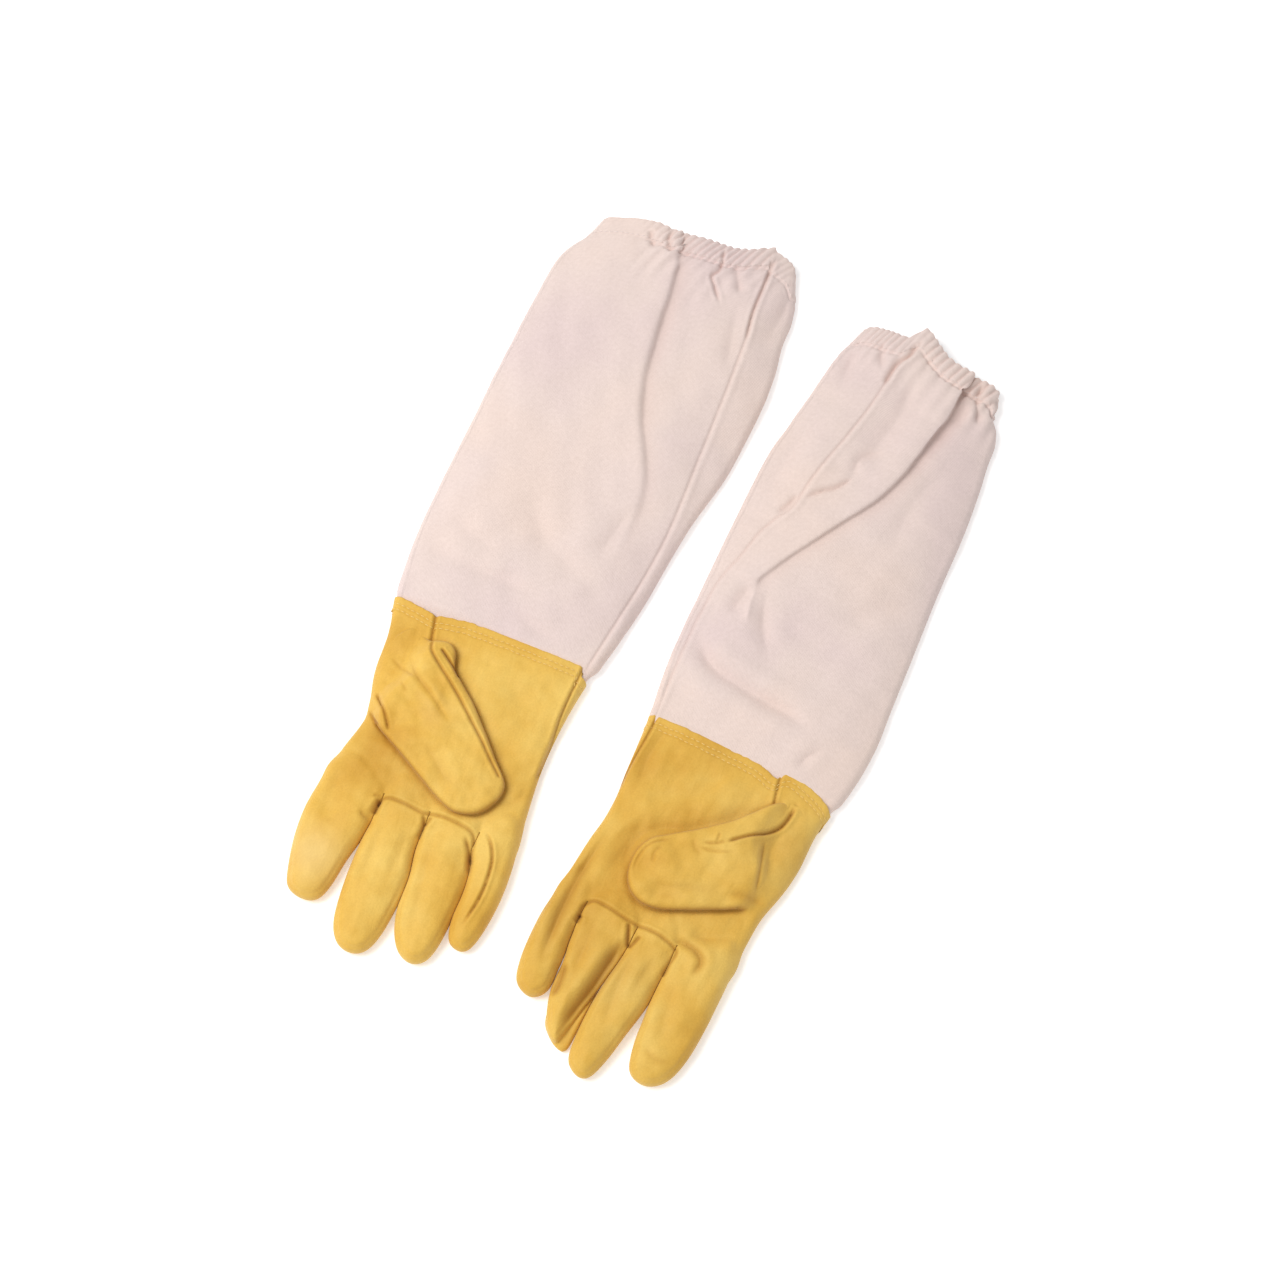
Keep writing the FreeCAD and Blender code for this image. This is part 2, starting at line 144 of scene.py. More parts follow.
# The shapes of the two gloves, each in its own frame. Outlines of the palm, fingers and thumb are
# smooth closed lines through their points. The sleeve's edges, fold and seam run along the glove.
# Its fold_ values change along it, as (y, value), and gathers across it, as (x, strength).
# Creases are explained at creases(), and the brown patches, partly real stain and partly painted shade, at
# the function that reads them.
RIGHT = {
    "side": "right",
    "thumb_side": -1,
    "hem_front": [
        (-70, 1), (-60, 1), (-48, -0.3), (-36, -2.4), (-33, -2.8), (-30, -2), (-15, 1), (15, 1.6),
        (60, 1.6), (61.5, -4), (66, -6.5), (72, -7),
    ],
    "hem_back": [(-70, 1), (0, -3.5), (72, -7)],
    "palm": [
        (-70, 45), (-66, 25), (-62.3, 0), (-58, -15), (-54, -35), (-50, -52), (-46.3, -62), (-46, -67.5),
        (-48, -82), (-52, -100), (-54, -116), (-40, -131), (-10, -133), (25, -133), (56, -131),
        (67, -118), (66, -102), (64, -85), (62.3, -68), (62, -50), (63, -30), (65, -12), (68, 6),
        (72, 25), (74, 45),
    ],
    "fingers": {
        "index": [
            (-40, -98), (-53, -106), (-56, -125), (-57, -140), (-55.5, -157), (-51, -176), (-46, -187),
            (-36, -190.3), (-27.5, -187.5), (-23.3, -178), (-21, -160), (-18.2, -145), (-16.6, -130),
            (-16.4, -112),
        ],
        "middle": [
            (-10, -98), (-17, -112), (-17.4, -130), (-18.2, -148), (-17, -172), (-13.5, -194),
            (-7, -205.5), (2, -209), (10.5, -205.5), (15.5, -194), (17.6, -172), (17, -155), (13.6, -138),
            (13, -112),
        ],
        "ring": [
            (22, -98), (12.4, -112), (13, -136), (16.4, -155), (17.8, -174), (22, -188), (29, -198),
            (38, -201.3), (45.5, -197), (49, -186), (50, -168), (50, -150), (48, -137), (44.6, -127),
            (45, -110),
        ],
        "little": [
            (55, -98), (44, -108), (43.4, -125), (46.5, -136), (48.8, -150), (49.3, -168), (53, -180.5),
            (60, -184), (66, -181), (69.5, -169), (71.2, -150), (70.5, -132), (68, -115), (64, -100),
        ],
    },
    "thumb": [
        (-54, -42), (-51, -24), (-44, -15), (-36, -15.5), (-30, -19), (-25, -18.2), (-20, -16.8),
        (-15.5, -17.6), (-12, -21), (-10.5, -25.5), (-8.5, -30), (-4, -34.5), (3, -40.2), (10.5, -46.3),
        (25.2, -61), (36.5, -73), (45.5, -82), (48, -88), (46.5, -97), (40, -106.5), (30, -111),
        (20, -110), (0, -100), (-11, -93.8), (-24, -87), (-36, -80.3), (-46, -71), (-50, -60),
    ],
    "front_creases": [
        ([(-17.2, -124), (-15.5, -119), (-10, -117), (0, -117.2), (10, -118), (14, -117), (25, -116),
            (38, -117), (43, -120), (44.8, -126)], 0.9, 1.2, 0.02),
        ([(-16.8, -119.5), (-17.2, -130)], 1.3, 2.0, 0.2),
        ([(-22, -119), (-16, -118)], 0.9, 0.8, 0.3),
        ([(-26, -130), (-21, -133), (-17, -133)], 1.2, 0.9, 0.4),
        ([(10, -118), (12.8, -124), (13, -134)], 1.0, 1.6, 0.2),
        ([(15.8, -118), (13, -125)], 1.0, 1.2, 0.25),
        ([(37.5, -121), (43, -128), (46, -135), (48.8, -143)], 1.0, 1.6, 0.25),
        ([(45, -124), (45.2, -130), (47.5, -136)], 0.9, 1.2, 0.25),
        ([(46.5, -113.5), (53, -119), (58.5, -129), (60.6, -143), (60.3, -156),
            (57.5, -172)], 0.8, 1.7, 0.2, -1.2),
        ([(19, -120), (22, -132), (25, -150), (29, -172), (33, -188)], 4.2, 1.5, 0.35),
        ([(-8, -122), (-9, -150), (-6, -182)], 4.0, 1.1, 0.4),
        ([(4, -122), (7, -145), (6, -170)], 3.0, 0.7, 0.4),
        ([(-42, -100), (-45, -125), (-43, -152)], 6.0, 1.5, 0.4),
        ([(60.4, 25), (60.4, 4), (60, -15), (60, -32), (61.5, -55), (61.5, -74)], 0.8, 1.3, 0.05, 0.4),
        ([(-34, 20), (-33.5, 0), (-31.5, -10), (-29, -19.5)], 0.9, 1.5, 0.03, 0.5),
        ([(-47, -60), (-41, -66.5), (-36.6, -70.5), (-32.4, -75.6), (-28, -82)], 0.9, 1.5, 0.15, 0.7),
        ([(-47, -71), (-41, -76), (-34, -79.5), (-27, -84)], 0.9, 1.3, 0.2),
        ([(20, -8), (32, -30), (44, -60)], 8.0, 1.2, 0.5),
        ([(48, -97), (56, -90), (61, -78)], 2.5, 0.8, 0.4),
        ([(-45, -4), (-47, -22), (-44, -40)], 5.0, 0.9, 0.4),
    ],
    "thumb_creases": [
        ([(-28, -18.5), (-27, -22), (-25.5, -25.5), (-21.5, -29.5), (-14, -35), (0, -45.2), (10, -53.8),
            (22.5, -64.3), (32.6, -73.6), (44, -83.5)], 0.8, 1.5, 0.03),
        ([(-20.7, -22.6), (-14, -27), (-9, -30.5), (-3, -35.5)], 0.8, 2.2, 0.1),
        ([(-47, -60), (-41, -66.5), (-36.6, -70.5), (-32.4, -75.6), (-28, -82)], 0.9, 1.5, 0.15, 0.7),
        ([(-38.6, -32), (-33, -38), (-26.5, -44.5), (-14, -52), (-4, -59), (4, -65)], 1.5, 1.0, 0.3, 0.3),
        ([(-48, -36), (-40, -40.5), (-34, -42.6), (-25, -47)], 1.0, 0.6, 0.3),
        ([(-35, -50), (-31, -53), (-27.5, -56)], 1.0, 0.5, 0.3),
        ([(-22, -36), (-12, -43), (0, -53)], 2.4, 0.6, 0.4),
        ([(-10, -77), (2, -86), (14, -95), (30, -99)], 2.6, 1.0, 0.35),
        ([(-38, -52), (-22, -62), (-8, -72)], 4.0, 0.7, 0.4),
    ],
    "stains_and_painted_shade": [
        (-28, -96, 20, 0.5), (-2, -112, 14, 0.3), (-44, -78, 10, 0.2), (58, -80, 12, 0.15),
        (-40, -165, 17, -0.6), (-10, -60, 14, -0.2), (-51, -22, 13, 0.3),
    ],
    "left_edge": [
        (-62, -12), (-62, 0), (-64, 15), (-66.5, 35), (-67.5, 60), (-67, 100), (-66, 150), (-64.5, 200),
        (-62.5, 240), (-58.5, 262), (-50, 280), (-45.5, 291),
    ],
    "right_edge": [
        (64.5, -12), (68, 0), (74, 30), (78, 55), (81, 85), (84, 110), (88, 130), (92, 150), (94, 175),
        (95, 200), (94, 225), (91, 244), (90.5, 262), (87, 278), (80.5, 291),
    ],
    "opening": [
        (-52, 279), (-46, 284), (-30, 288), (-10, 290), (0, 288.5), (20, 290.5), (40, 292.5), (50, 296),
        (58, 301), (63, 303.5), (66, 301), (72, 299.5), (78, 297), (84, 289),
    ],
    "gathers": [(-60, 0.02), (-22, 0.02), (-10, 0.6), (2, 1.0), (62, 1.0), (68, 0.45), (90, 0.45)],
    "fold": [
        (4, 291), (8.5, 278), (11.5, 266), (13.8, 253), (16, 233), (18.3, 210), (22, 187), (30, 162),
        (40, 142), (49, 122), (52, 100), (52, 70),
    ],
    "fold_overlap": [(-10, 0), (110, 0), (200, 0.3), (260, 0.6), (282, 0.5), (291, 0)],
    "fold_lift": [(-10, 0), (80, 0), (120, 0.4), (180, 0.65), (270, 0.75), (291, 0.3)],
    "fold_valley": [(-10, 0), (60, 0), (100, 1.0), (150, 2.0), (230, 2.6), (280, 2.0), (291, 1.0)],
    "valley_width": 8.0,
    "seam": [
        (61, -10), (62.5, 0), (68, 40), (72, 70), (74, 100), (73.5, 140), (72, 190), (69.6, 236),
        (66.8, 256), (66.2, 280), (64.5, 292),
    ],
    "sleeve_creases": [
        ([(34, 291), (37, 275), (34.2, 268), (38.5, 262), (46.5, 251)], 0.9, 1.7, 0.2),
        ([(-13.5, 284), (-10, 277), (-5.5, 272)], 1.6, 1.6, 0.25),
        ([(0, 290), (0, 281), (5, 272)], 1.4, 1.8, 0.15),
        ([(45, 283), (50, 272), (56, 262)], 2.4, 1.6, 0.3),
        ([(66, 298), (66.5, 280), (67, 256), (70, 234)], 0.9, 1.4, 0.15),
        ([(-62, 38), (-35, 34), (0, 33), (32, 28)], 5.0, 1.6, 0.4),
        ([(-56, 62), (-30, 52), (0, 46)], 5.0, 1.0, 0.4),
        ([(5, 18), (25, 12), (45, 9)], 4.0, 0.9, 0.4),
        ([(-20, 105), (5, 70), (40, 52), (66, 45)], 11.0, 2.4, 0.4),
        ([(56, 262), (60, 240), (68, 205)], 5.0, 1.6, 0.4),
        ([(50, 110), (44, 85), (42, 60)], 5.0, 1.4, 0.4),
        ([(82, 283), (84, 262), (81, 235)], 4.0, 1.2, 0.4),
        ([(-50, 270), (-40, 220), (-45, 150)], 14.0, 1.5, 0.5),
    ],
}
LEFT = {
    "side": "left",
    "thumb_side": 1,
    "hem_front": [
        (-70, 3.5), (-40, 4.2), (0, 3.6), (10, 3.4), (18, 1.4), (23.5, -0.6), (24.6, 1.8), (27, 4.6),
        (30, 6.2), (30.6, 6.6), (31.2, 10), (32.1, 6.6), (36, 5.8), (48, 2.6), (56, -1), (60.5, -4.4),
        (68, -9),
    ],
    "hem_back": [(-70, 3.5), (-40, 1), (30, -4), (68, -9)],
    "palm": [
        (-72, 45), (-68, 25), (-62, 3), (-60, -15), (-58.4, -35), (-56.8, -50), (-57, -65), (-59, -80),
        (-60.6, -100), (-62, -116), (-54, -131), (-30, -133), (0, -133), (34, -131), (50.5, -118),
        (50.5, -100), (51, -85), (52, -75), (53, -60), (55, -40), (58, -20), (61.5, -3), (66, 20),
        (70, 45),
    ],
    "fingers": {
        "index": [
            (35, -98), (16, -112), (14.8, -128), (14.8, -142), (16.5, -160), (18.5, -178), (23, -192),
            (32, -196), (40.5, -193), (46.5, -185), (50, -171), (51.2, -153), (51.2, -138), (50.6, -118),
            (47, -100),
        ],
        "middle": [
            (3, -98), (-9.6, -112), (-10.4, -128), (-12.6, -150), (-13.8, -170), (-13.2, -190),
            (-11, -201.5), (-6, -206.5), (0, -208), (5, -204.5), (9, -192), (12, -175), (15.4, -156),
            (16.6, -140), (17, -126), (15, -110),
        ],
        "ring": [
            (-26, -98), (-41, -110), (-43.2, -125), (-42, -140), (-39.6, -152), (-38.4, -170),
            (-33.5, -185), (-28, -193.5), (-22, -196.5), (-19.6, -191), (-17, -175), (-13.6, -156),
            (-10.2, -140), (-8.8, -125), (-10, -110),
        ],
        "little": [
            (-52, -98), (-60.5, -110), (-63.4, -125), (-64, -140), (-62.6, -160), (-58.5, -174),
            (-50, -179), (-43.5, -177.3), (-39.2, -170), (-39.8, -156), (-41, -140), (-41.8, -125),
            (-42, -110),
        ],
    },
    "ring_back": [
        (-30, -120), (-36, -160), (-34, -185), (-27, -194.5), (-19, -198.6), (-14.6, -197), (-13.8, -185),
        (-14, -165), (-13, -140), (-15, -120),
    ],
    "thumb": [
        (58, -40), (54, -20), (44, -9.5), (34, -11), (25, -20), (13.8, -33.5), (6.6, -40.5), (-6, -51),
        (-18, -60), (-25.5, -66), (-30, -75), (-30.3, -84), (-28, -93), (-22.5, -100), (-14, -103.6),
        (-4, -102.5), (10, -96.6), (24, -89.5), (38, -81.5), (48, -75), (55, -62),
    ],
    "front_creases": [
        ([(-42, -127), (-43, -120), (-40, -114.8), (-34, -113.6), (-15, -115.5), (0, -115), (12, -117),
            (17, -119.8), (16.4, -127), (16, -136)], 0.9, 1.2, 0.02),
        ([(-42, -124), (-42.6, -130)], 1.3, 1.8, 0.2),
        ([(-15, -116), (-12.5, -122), (-9, -130)], 1.0, 1.9, 0.15),
        ([(-5.5, -120), (-7, -125), (-9, -130)], 1.0, 1.5, 0.2),
        ([(12, -114), (20, -112.8), (28, -114.5), (32.8, -119.5), (31, -130)], 2.0, 2.0, 0.25, -0.6),
        ([(-57, 25), (-57, 6), (-56.5, -8), (-57.6, -28), (-57.4, -46)], 0.8, 1.4, 0.04, 0.4),
        ([(-47, 4), (-50, -20), (-47, -46)], 3.5, 1.6, 0.35),
        ([(-50, -72), (-53.5, -100), (-53, -130), (-50, -166)], 3.0, 3.4, 0.3),
        ([(-34, -48), (-38, -75), (-40, -100)], 5.0, 1.5, 0.4),
        ([(-33, -120), (-31, -150), (-28, -180)], 3.2, 1.2, 0.35),
        ([(-38, -152), (-35.5, -163), (-35, -175)], 2.4, 3.4, 0.25),
        ([(-13, -124), (-14.8, -140), (-17, -158), (-20.5, -176), (-23, -192)], 2.6, 4.2, 0.25),
        ([(-4, -122), (-4, -150), (0, -187)], 4.0, 1.6, 0.4),
        ([(8, -122), (6, -140), (6, -160)], 3.0, 0.9, 0.4),
        ([(25, -132), (27, -150), (33, -178)], 4.5, 1.4, 0.4),
        ([(24, -176), (34, -181), (46, -178)], 1.6, 0.6, 0.35),
        ([(24.5, 20), (24.8, 3), (26.3, -6), (29, -16)], 0.8, 1.1, 0.05, 0.6),
        ([(40.2, -7), (40.5, -12), (40.2, -18), (37.8, -27)], 1.8, 1.9, 0.3),
        ([(27, -75), (38, -73), (52, -71)], 2.2, 1.8, 0.3),
        ([(18, -107), (30, -104), (44, -97)], 3.5, 1.0, 0.4),
        ([(-10, -8), (-15, -30), (-25, -48)], 8.0, 1.3, 0.5),
        ([(-20, -6), (-30, -30), (-32, -60)], 6.0, 1.0, 0.5),
        ([(22, -20), (6, -37), (-12, -51), (-28, -60), (-35, -76), (-31, -94)], 4.5, 2.4, 0.2),
    ],
    "thumb_creases": [
        ([(40.5, -10), (40.2, -20), (37.8, -27.6), (32, -35), (23, -42.8),
            (14.5, -51)], 0.9, 1.9, 0.12, -1.0),
        ([(33.5, -36), (36, -46), (39.5, -57), (43, -71)], 1.0, 1.0, 0.25),
        ([(52, -71), (40, -73), (28, -78)], 2.2, 1.2, 0.3),
        ([(9, -46), (10, -53)], 0.7, 0.7, 0.3),
        ([(16, -49.5), (9, -54), (2, -56.5)], 0.8, 0.9, 0.3, -0.4),
        ([(0, -60), (9, -59), (17, -56), (24, -53)], 0.7, 0.6, 0.3),
        ([(-4, -56), (0, -61), (6, -64)], 1.4, 0.5, 0.3),
        ([(-12, -60.5), (-20, -66.5), (-25, -72), (-27, -82), (-25.5, -91)], 0.7, 0.7, 0.25),
        ([(-16, -68), (-19.5, -74), (-17.5, -82)], 1.0, 0.6, 0.25),
        ([(-22, -90), (-8, -90), (10, -83.5), (28, -77)], 2.6, 1.0, 0.35),
        ([(-20, -96), (-6, -95.5), (10, -89)], 2.6, 0.6, 0.4),
    ],
    "stains_and_painted_shade": [
        (-10, -100, 150, 0.2), (52, -35, 18, 0.5), (-54, -125, 26, 0.4), (-14, -2, 9, 0.25),
        (-12, -145, 20, 0.3), (-48, -25, 9, 0.25),
    ],
    "left_edge": [
        (-62, -12), (-62, 2), (-66, 30), (-68.5, 60), (-70, 90), (-71.5, 130), (-72.5, 170), (-72, 190),
        (-70, 205), (-67, 230), (-65, 250), (-62, 270), (-58, 282), (-55.5, 291),
    ],
    "right_edge": [
        (60, -12), (63, 0), (66, 20), (67, 45), (65, 70), (62, 110), (59, 150), (57, 190), (54, 220),
        (51, 240), (49.5, 258), (45.5, 270), (40, 281), (38.5, 291),
    ],
    "opening": [
        (-57, 289), (-50, 292), (-40, 292.3), (-30, 292), (-26.5, 293), (-24, 297.5), (-20, 303.5),
        (-15, 301.5), (-8, 296.8), (0, 291.5), (8, 289), (20, 288), (32, 288), (37, 286.5), (40, 281),
    ],
    "gathers": [(-60, 0.3), (-48, 0.75), (-28, 0.8), (-24, 0.3), (-18, 0.4), (-10, 1.1), (40, 1.2)],
    "fold": [
        (21, 291), (18.5, 277), (18.3, 268), (18.8, 260), (17, 247), (13.5, 230), (9.7, 209), (3, 187),
        (-8.4, 166), (-18, 149), (-28.4, 130.4), (-35.8, 115.6), (-39.5, 107), (-42, 95),
    ],
    "fold_overlap": [(-10, 0), (103, 0), (107, 0.7), (125, 0.9), (200, 1.4), (260, 2.4), (291, 3)],
    "fold_lift": [(-10, 0), (102, 0), (107, 0.8), (130, 0.9), (170, 1.0), (291, 1.2)],
    "fold_valley": [
        (-10, 0), (88, 0), (106, 1.2), (150, 1.5), (200, 2.0), (240, 3.4), (272, 3.6), (291, 1.8),
    ],
    "valley_width": 7.0,
    "seam": [
        (-58, -10), (-59, 5), (-61, 40), (-62.5, 65), (-62.5, 90), (-61, 103), (-57.5, 116), (-53.7, 135),
        (-49, 147), (-42.9, 158), (-40.4, 177), (-36.6, 198), (-32.5, 217), (-28.5, 241), (-26.6, 261),
        (-25.5, 271), (-21, 281), (-19, 291),
    ],
    "sleeve_creases": [
        ([(-6.5, 217), (-18.5, 206), (-19.5, 198), (-17.6, 190)], 2.6, 1.4, 0.3),
        ([(-17, 193), (-23.8, 182), (-31, 175.5), (-40, 166)], 1.5, 1.6, 0.25, 0.8),
        ([(-14, 274), (-9.5, 250), (-12, 228), (-19, 200)], 7.0, 2.6, 0.35),
        ([(-51, 151), (-46, 157), (-43, 168)], 1.8, 1.8, 0.3),
        ([(-21, 291), (-21.5, 281), (-26, 272), (-27.5, 255)], 1.5, 2.0, 0.15),
        ([(-60, 66), (-52, 54), (-38, 45), (-10, 41), (14, 39), (32, 34)], 4.6, 3.8, 0.25),
        ([(-42, 104), (-45, 92), (-46, 78)], 4.5, 2.4, 0.35),
        ([(-34, 112), (-30, 92), (-20, 74), (-12, 60)], 4.0, 1.8, 0.4),
        ([(-40, 104), (-38, 90), (-34, 76)], 1.6, -1.0, 0.35),
        ([(-56, 284), (-54, 262), (-50, 240)], 4.0, 1.6, 0.4),
        ([(-42, 286), (-37, 273), (-31, 262)], 2.0, 1.2, 0.35),
        ([(26, 288), (28, 274), (36, 258)], 2.0, 2.2, 0.25),
        ([(36, 232), (22, 195), (24, 150)], 9.0, 2.2, 0.4),
        ([(55, 138), (30, 118), (5, 98)], 9.0, 2.0, 0.4),
        ([(-56, 225), (-60, 190), (-62, 150)], 6.0, 1.4, 0.4),
        ([(31, 8), (34, 20), (42, 30)], 3.0, 1.4, 0.4),
    ],
}


def smooth(value, low, high):
    """0 below low, 1 above high, and a smooth rise between them."""
    share = np.clip((value - low) / (high - low), 0, 1)
    return share * share * (3 - 2 * share)


def spline(points, closed=False, step=2.5):
    """A smooth line through the points, drawn as points about a step apart."""
    knots = np.array(points, float)
    if closed:
        knots = np.vstack([knots[-1:], knots, knots[:2]])
    else:
        knots = np.vstack([2 * knots[0] - knots[1], knots, 2 * knots[-1] - knots[-2]])
    runs = []
    for before, start, end, after in zip(knots, knots[1:], knots[2:], knots[3:]):
        count = max(2, math.ceil(np.linalg.norm(end - start) / step))
        t = np.linspace(0, 1, count, endpoint=False)[:, None]
        bend = 2 * before - 5 * start + 4 * end - after
        twist = 3 * start - before - 3 * end + after
        runs.append(0.5 * (2 * start + (end - before) * t + bend * t ** 2 + twist * t ** 3))
    return np.vstack(runs + [knots[-2:-1]])


def across_at(points, y):
    """The x at y of a smooth line that runs along the glove."""
    line = spline(sorted(points, key=lambda point: point[1]))
    return np.interp(y, line[:, 1], line[:, 0])


def distance(line, x, y):
    """How far points are from a line, how far along it they are (0 to 1), and their side (1 is right)."""
    nearest = np.full(x.shape, 1e6, np.float32)
    along = np.zeros(x.shape, np.float32)
    side = np.zeros(x.shape, np.float32)
    lengths = np.hypot(*np.diff(line, axis=0).T)
    starts = np.concatenate([[0.0], np.cumsum(lengths)])
    for a, b, start, length in zip(line, line[1:], starts, lengths):
        dx, dy = (b - a) / length
        t = np.clip((x - a[0]) * dx + (y - a[1]) * dy, 0, length)
        gap = np.hypot(x - a[0] - t * dx, y - a[1] - t * dy)
        closer = gap < nearest
        nearest = np.where(closer, gap, nearest)
        along = np.where(closer, start + t, along)
        side = np.where(closer, np.sign((x - a[0]) * dy - (y - a[1]) * dx), side)
    return nearest, along / starts[-1], side


def inside(outline, x, y):
    """Which points a closed outline holds."""
    held = np.zeros(x.shape, bool)
    for (x1, y1), (x2, y2) in zip(outline, outline[1:]):
        if y1 != y2:
            crosses = (y1 > y) != (y2 > y)
            held ^= crosses & (x < x1 + (x2 - x1) * (y - y1) / (y2 - y1))
    return held


def depth_in(points, x, y):
    """How far points are inside a closed outline; below 0 is outside it."""
    outline = spline(points, closed=True)
    gap, _, _ = distance(outline, x, y)
    return np.where(inside(outline, x, y), gap, -gap)


def creases(lines, x, y):
    """Creases as two maps: the height that they add, and how deep in a crease each point is, which is
    painted as shade.

    A crease is its points, width, depth and the share of it that fades out at each end. Where one
    layer lies on another, the step up from its left side to its right comes last.
    """
    height = np.zeros(x.shape, np.float32)
    tone = np.zeros(x.shape, np.float32)
    for points, width, depth, fade, *step in lines:
        line = spline(points)
        (left, low), (right, high) = line.min(0) - 6 * width, line.max(0) + 6 * width
        near = (x > left) & (x < right) & (y > low) & (y < high)
        gap, along, side = distance(line, x[near], y[near])
        ends = smooth(along, 0, fade) * smooth(1 - along, 0, fade)
        valley = np.exp(-(gap / width) ** 1.6)
        shoulder = np.exp(-((gap - 2.6 * width) / (1.4 * width)) ** 2)
        level = 0.5 * sum(step) * side * np.exp(-(gap / (3 * width)) ** 2)
        height[near] += ends * (depth * (0.25 * shoulder - valley) + level)
        # Painted shade, strongest in narrow creases.
        tone[near] += ends * depth * valley * min(1, (1.2 / width) ** 1.5)
    return height, tone


def stains_and_painted_shade(glove, x, y):
    """Browner patches of the leather, given as (x, y, size, strength); below 0 they are paler. They are
    partly real stain and partly painted shade, such as the patches below the thumb and the broad one that
    darkens the whole left glove.
    """
    return sum(strength * np.exp(-((x - at_x) ** 2 + (y - at_y) ** 2) / size ** 2)
               for at_x, at_y, size, strength in glove["stains_and_painted_shade"])


def ripples(x, y, size, seed):
    """Soft random unevenness, about -1 to 1, with bumps of about that size."""
    chance = np.random.default_rng(seed)
    total = np.zeros(x.shape, np.float32)
    for _ in range(12):  # waves of random direction and length
        angle, phase = chance.uniform(0, 2 * math.pi, 2)
        rate = 2 * math.pi / (size * chance.uniform(0.8, 2.0))
        total += np.sin(rate * (x * math.cos(angle) + y * math.sin(angle)) + phase)
    return total / 3.5


def crest(depth, radius, height, crown):
    """The half thickness of a pouch above the middle of its edge, at a depth inside it."""
    rise = np.clip(depth / crown, 0, 1)
    return radius + (height - 2 * radius) * (1 - (1 - rise) ** 2)


def pouch(depth, z, floor, form, relief):
    """A field that is below 0 inside a flattened pouch with round edges and a crowned top."""
    radius = form["radius"]
    top = crest(depth, **form) + relief
    up = z[None, None, :] - (floor + radius)[:, :, None]
    up = np.where(up > 0, up * (radius / np.maximum(top, 1))[:, :, None], up)
    across = np.maximum(radius - depth, 0)[:, :, None]
    return (np.hypot(across, up) - radius).astype(np.float32)


def merge(a, b, reach):
    """The union of two fields, with their meeting rounded over reach."""
    share = np.clip(0.5 + 0.5 * (b - a) / reach, 0, 1)
    return b + (a - b) * share - reach * share * (1 - share)


def net(field, origin, pitch):
    """The surface where a field crosses 0, as points and four-sided faces."""
    within = field < 0
    corners = [(i, j, k) for i in (0, 1) for j in (0, 1) for k in (0, 1)]
    nx, ny, nz = (n - 1 for n in field.shape)
    held = sum(within[i:nx + i, j:ny + j, k:nz + k].astype(np.uint8) for i, j, k in corners)
    cells = (held > 0) & (held < 8)
    number = np.full(cells.shape, -1, np.int64)
    number[cells] = np.arange(cells.sum())
    at = np.argwhere(cells)
    value = {corner: field[tuple((at + corner).T)] for corner in corners}
    total = np.zeros((len(at), 3))
    count = np.zeros(len(at))
    for a in corners:
        for b in corners:
            step = np.subtract(b, a)
            if step.min() < 0 or step.sum() != 1:
                continue
            crossed = (value[a] < 0) != (value[b] < 0)
            share = np.where(crossed, value[a] / np.where(crossed, value[a] - value[b], 1), 0)
            total += crossed[:, None] * (np.array(a) + share[:, None] * step)
            count += crossed
    points = np.array(origin) + pitch * (at + total / count[:, None])
    faces = []
    for axis in range(3):
        u, v = (axis + 1) % 3, (axis + 2) % 3
        low = np.take(within, range(field.shape[axis] - 1), axis)
        high = np.take(within, range(1, field.shape[axis]), axis)
        edge = np.argwhere(low != high)
        places = edge[:, (u, v)]  # those on the grid's border have no cell on one side
        edge = edge[((places > 0) & (places < (cells.shape[u], cells.shape[v]))).all(1)]
        ring = []
        for du, dv in ((1, 1), (0, 1), (0, 0), (1, 0)):
            cell = edge.copy()
            cell[:, u] -= du
            cell[:, v] -= dv
            ring.append(number[tuple(cell.T)])
        quads = np.stack(ring, 1)
        outward = low[tuple(edge.T)]
        faces.append(np.where(outward[:, None], quads, quads[:, ::-1]))
    return points, np.vstack(faces)


def relax(points, faces, times):
    """Moves every point part way to the middle of its neighbours."""
    a = faces.ravel()
    b = np.roll(faces, -1, 1).ravel()
    count = np.bincount(a, minlength=len(points)) + np.bincount(b, minlength=len(points))
    for _ in range(times):
        total = np.stack([np.bincount(a, column[b], len(points)) + np.bincount(b, column[a], len(points))
                          for column in points.T], 1)
        points = points + 0.5 * (total / np.maximum(count, 1)[:, None] - points)
    return points


def point_normals(points, faces):
    """Each point's outward direction."""
    a, b, c, d = (points[corner] for corner in faces.T)
    outward = np.cross(c - a, d - b)
    normals = np.stack([sum(np.bincount(corner, part, len(points)) for corner in faces.T)
                        for part in outward.T], 1)
    return normals / np.maximum(np.linalg.norm(normals, axis=1), 1e-9)[:, None]


class Place:
    """Where a glove's own frame stands in the row's frame: read from its wrist joint."""

    def __init__(self, frame, side):
        joint = next(j for j in frame["joints"] if j["name"] == side + "_sleeve_fold")
        self.x_axis = Vector(joint["axis"]).normalized()
        self.y_axis = Vector((-self.x_axis.y, self.x_axis.x, 0))
        cuff_low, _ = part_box(side + "_hand_back")
        across, along = SLEEVE_JOINT
        self.origin = Vector(joint["pos_m"]) - self.x_axis * across * MM - self.y_axis * along * MM
        self.origin.z = cuff_low.z

    def row(self, points):
        """Points in a glove's frame, moved to the row's frame and to metres."""
        return self.directions(np.asarray(points, float) * MM) + np.array(self.origin)

    def directions(self, vectors):
        """Directions in a glove's frame, turned into the row's frame."""
        return np.asarray(vectors, float) @ np.array([self.x_axis, self.y_axis, (0, 0, 1)])

    def point(self, x, y, z=0.0):
        return tuple(self.row([(x, y, z)])[0])


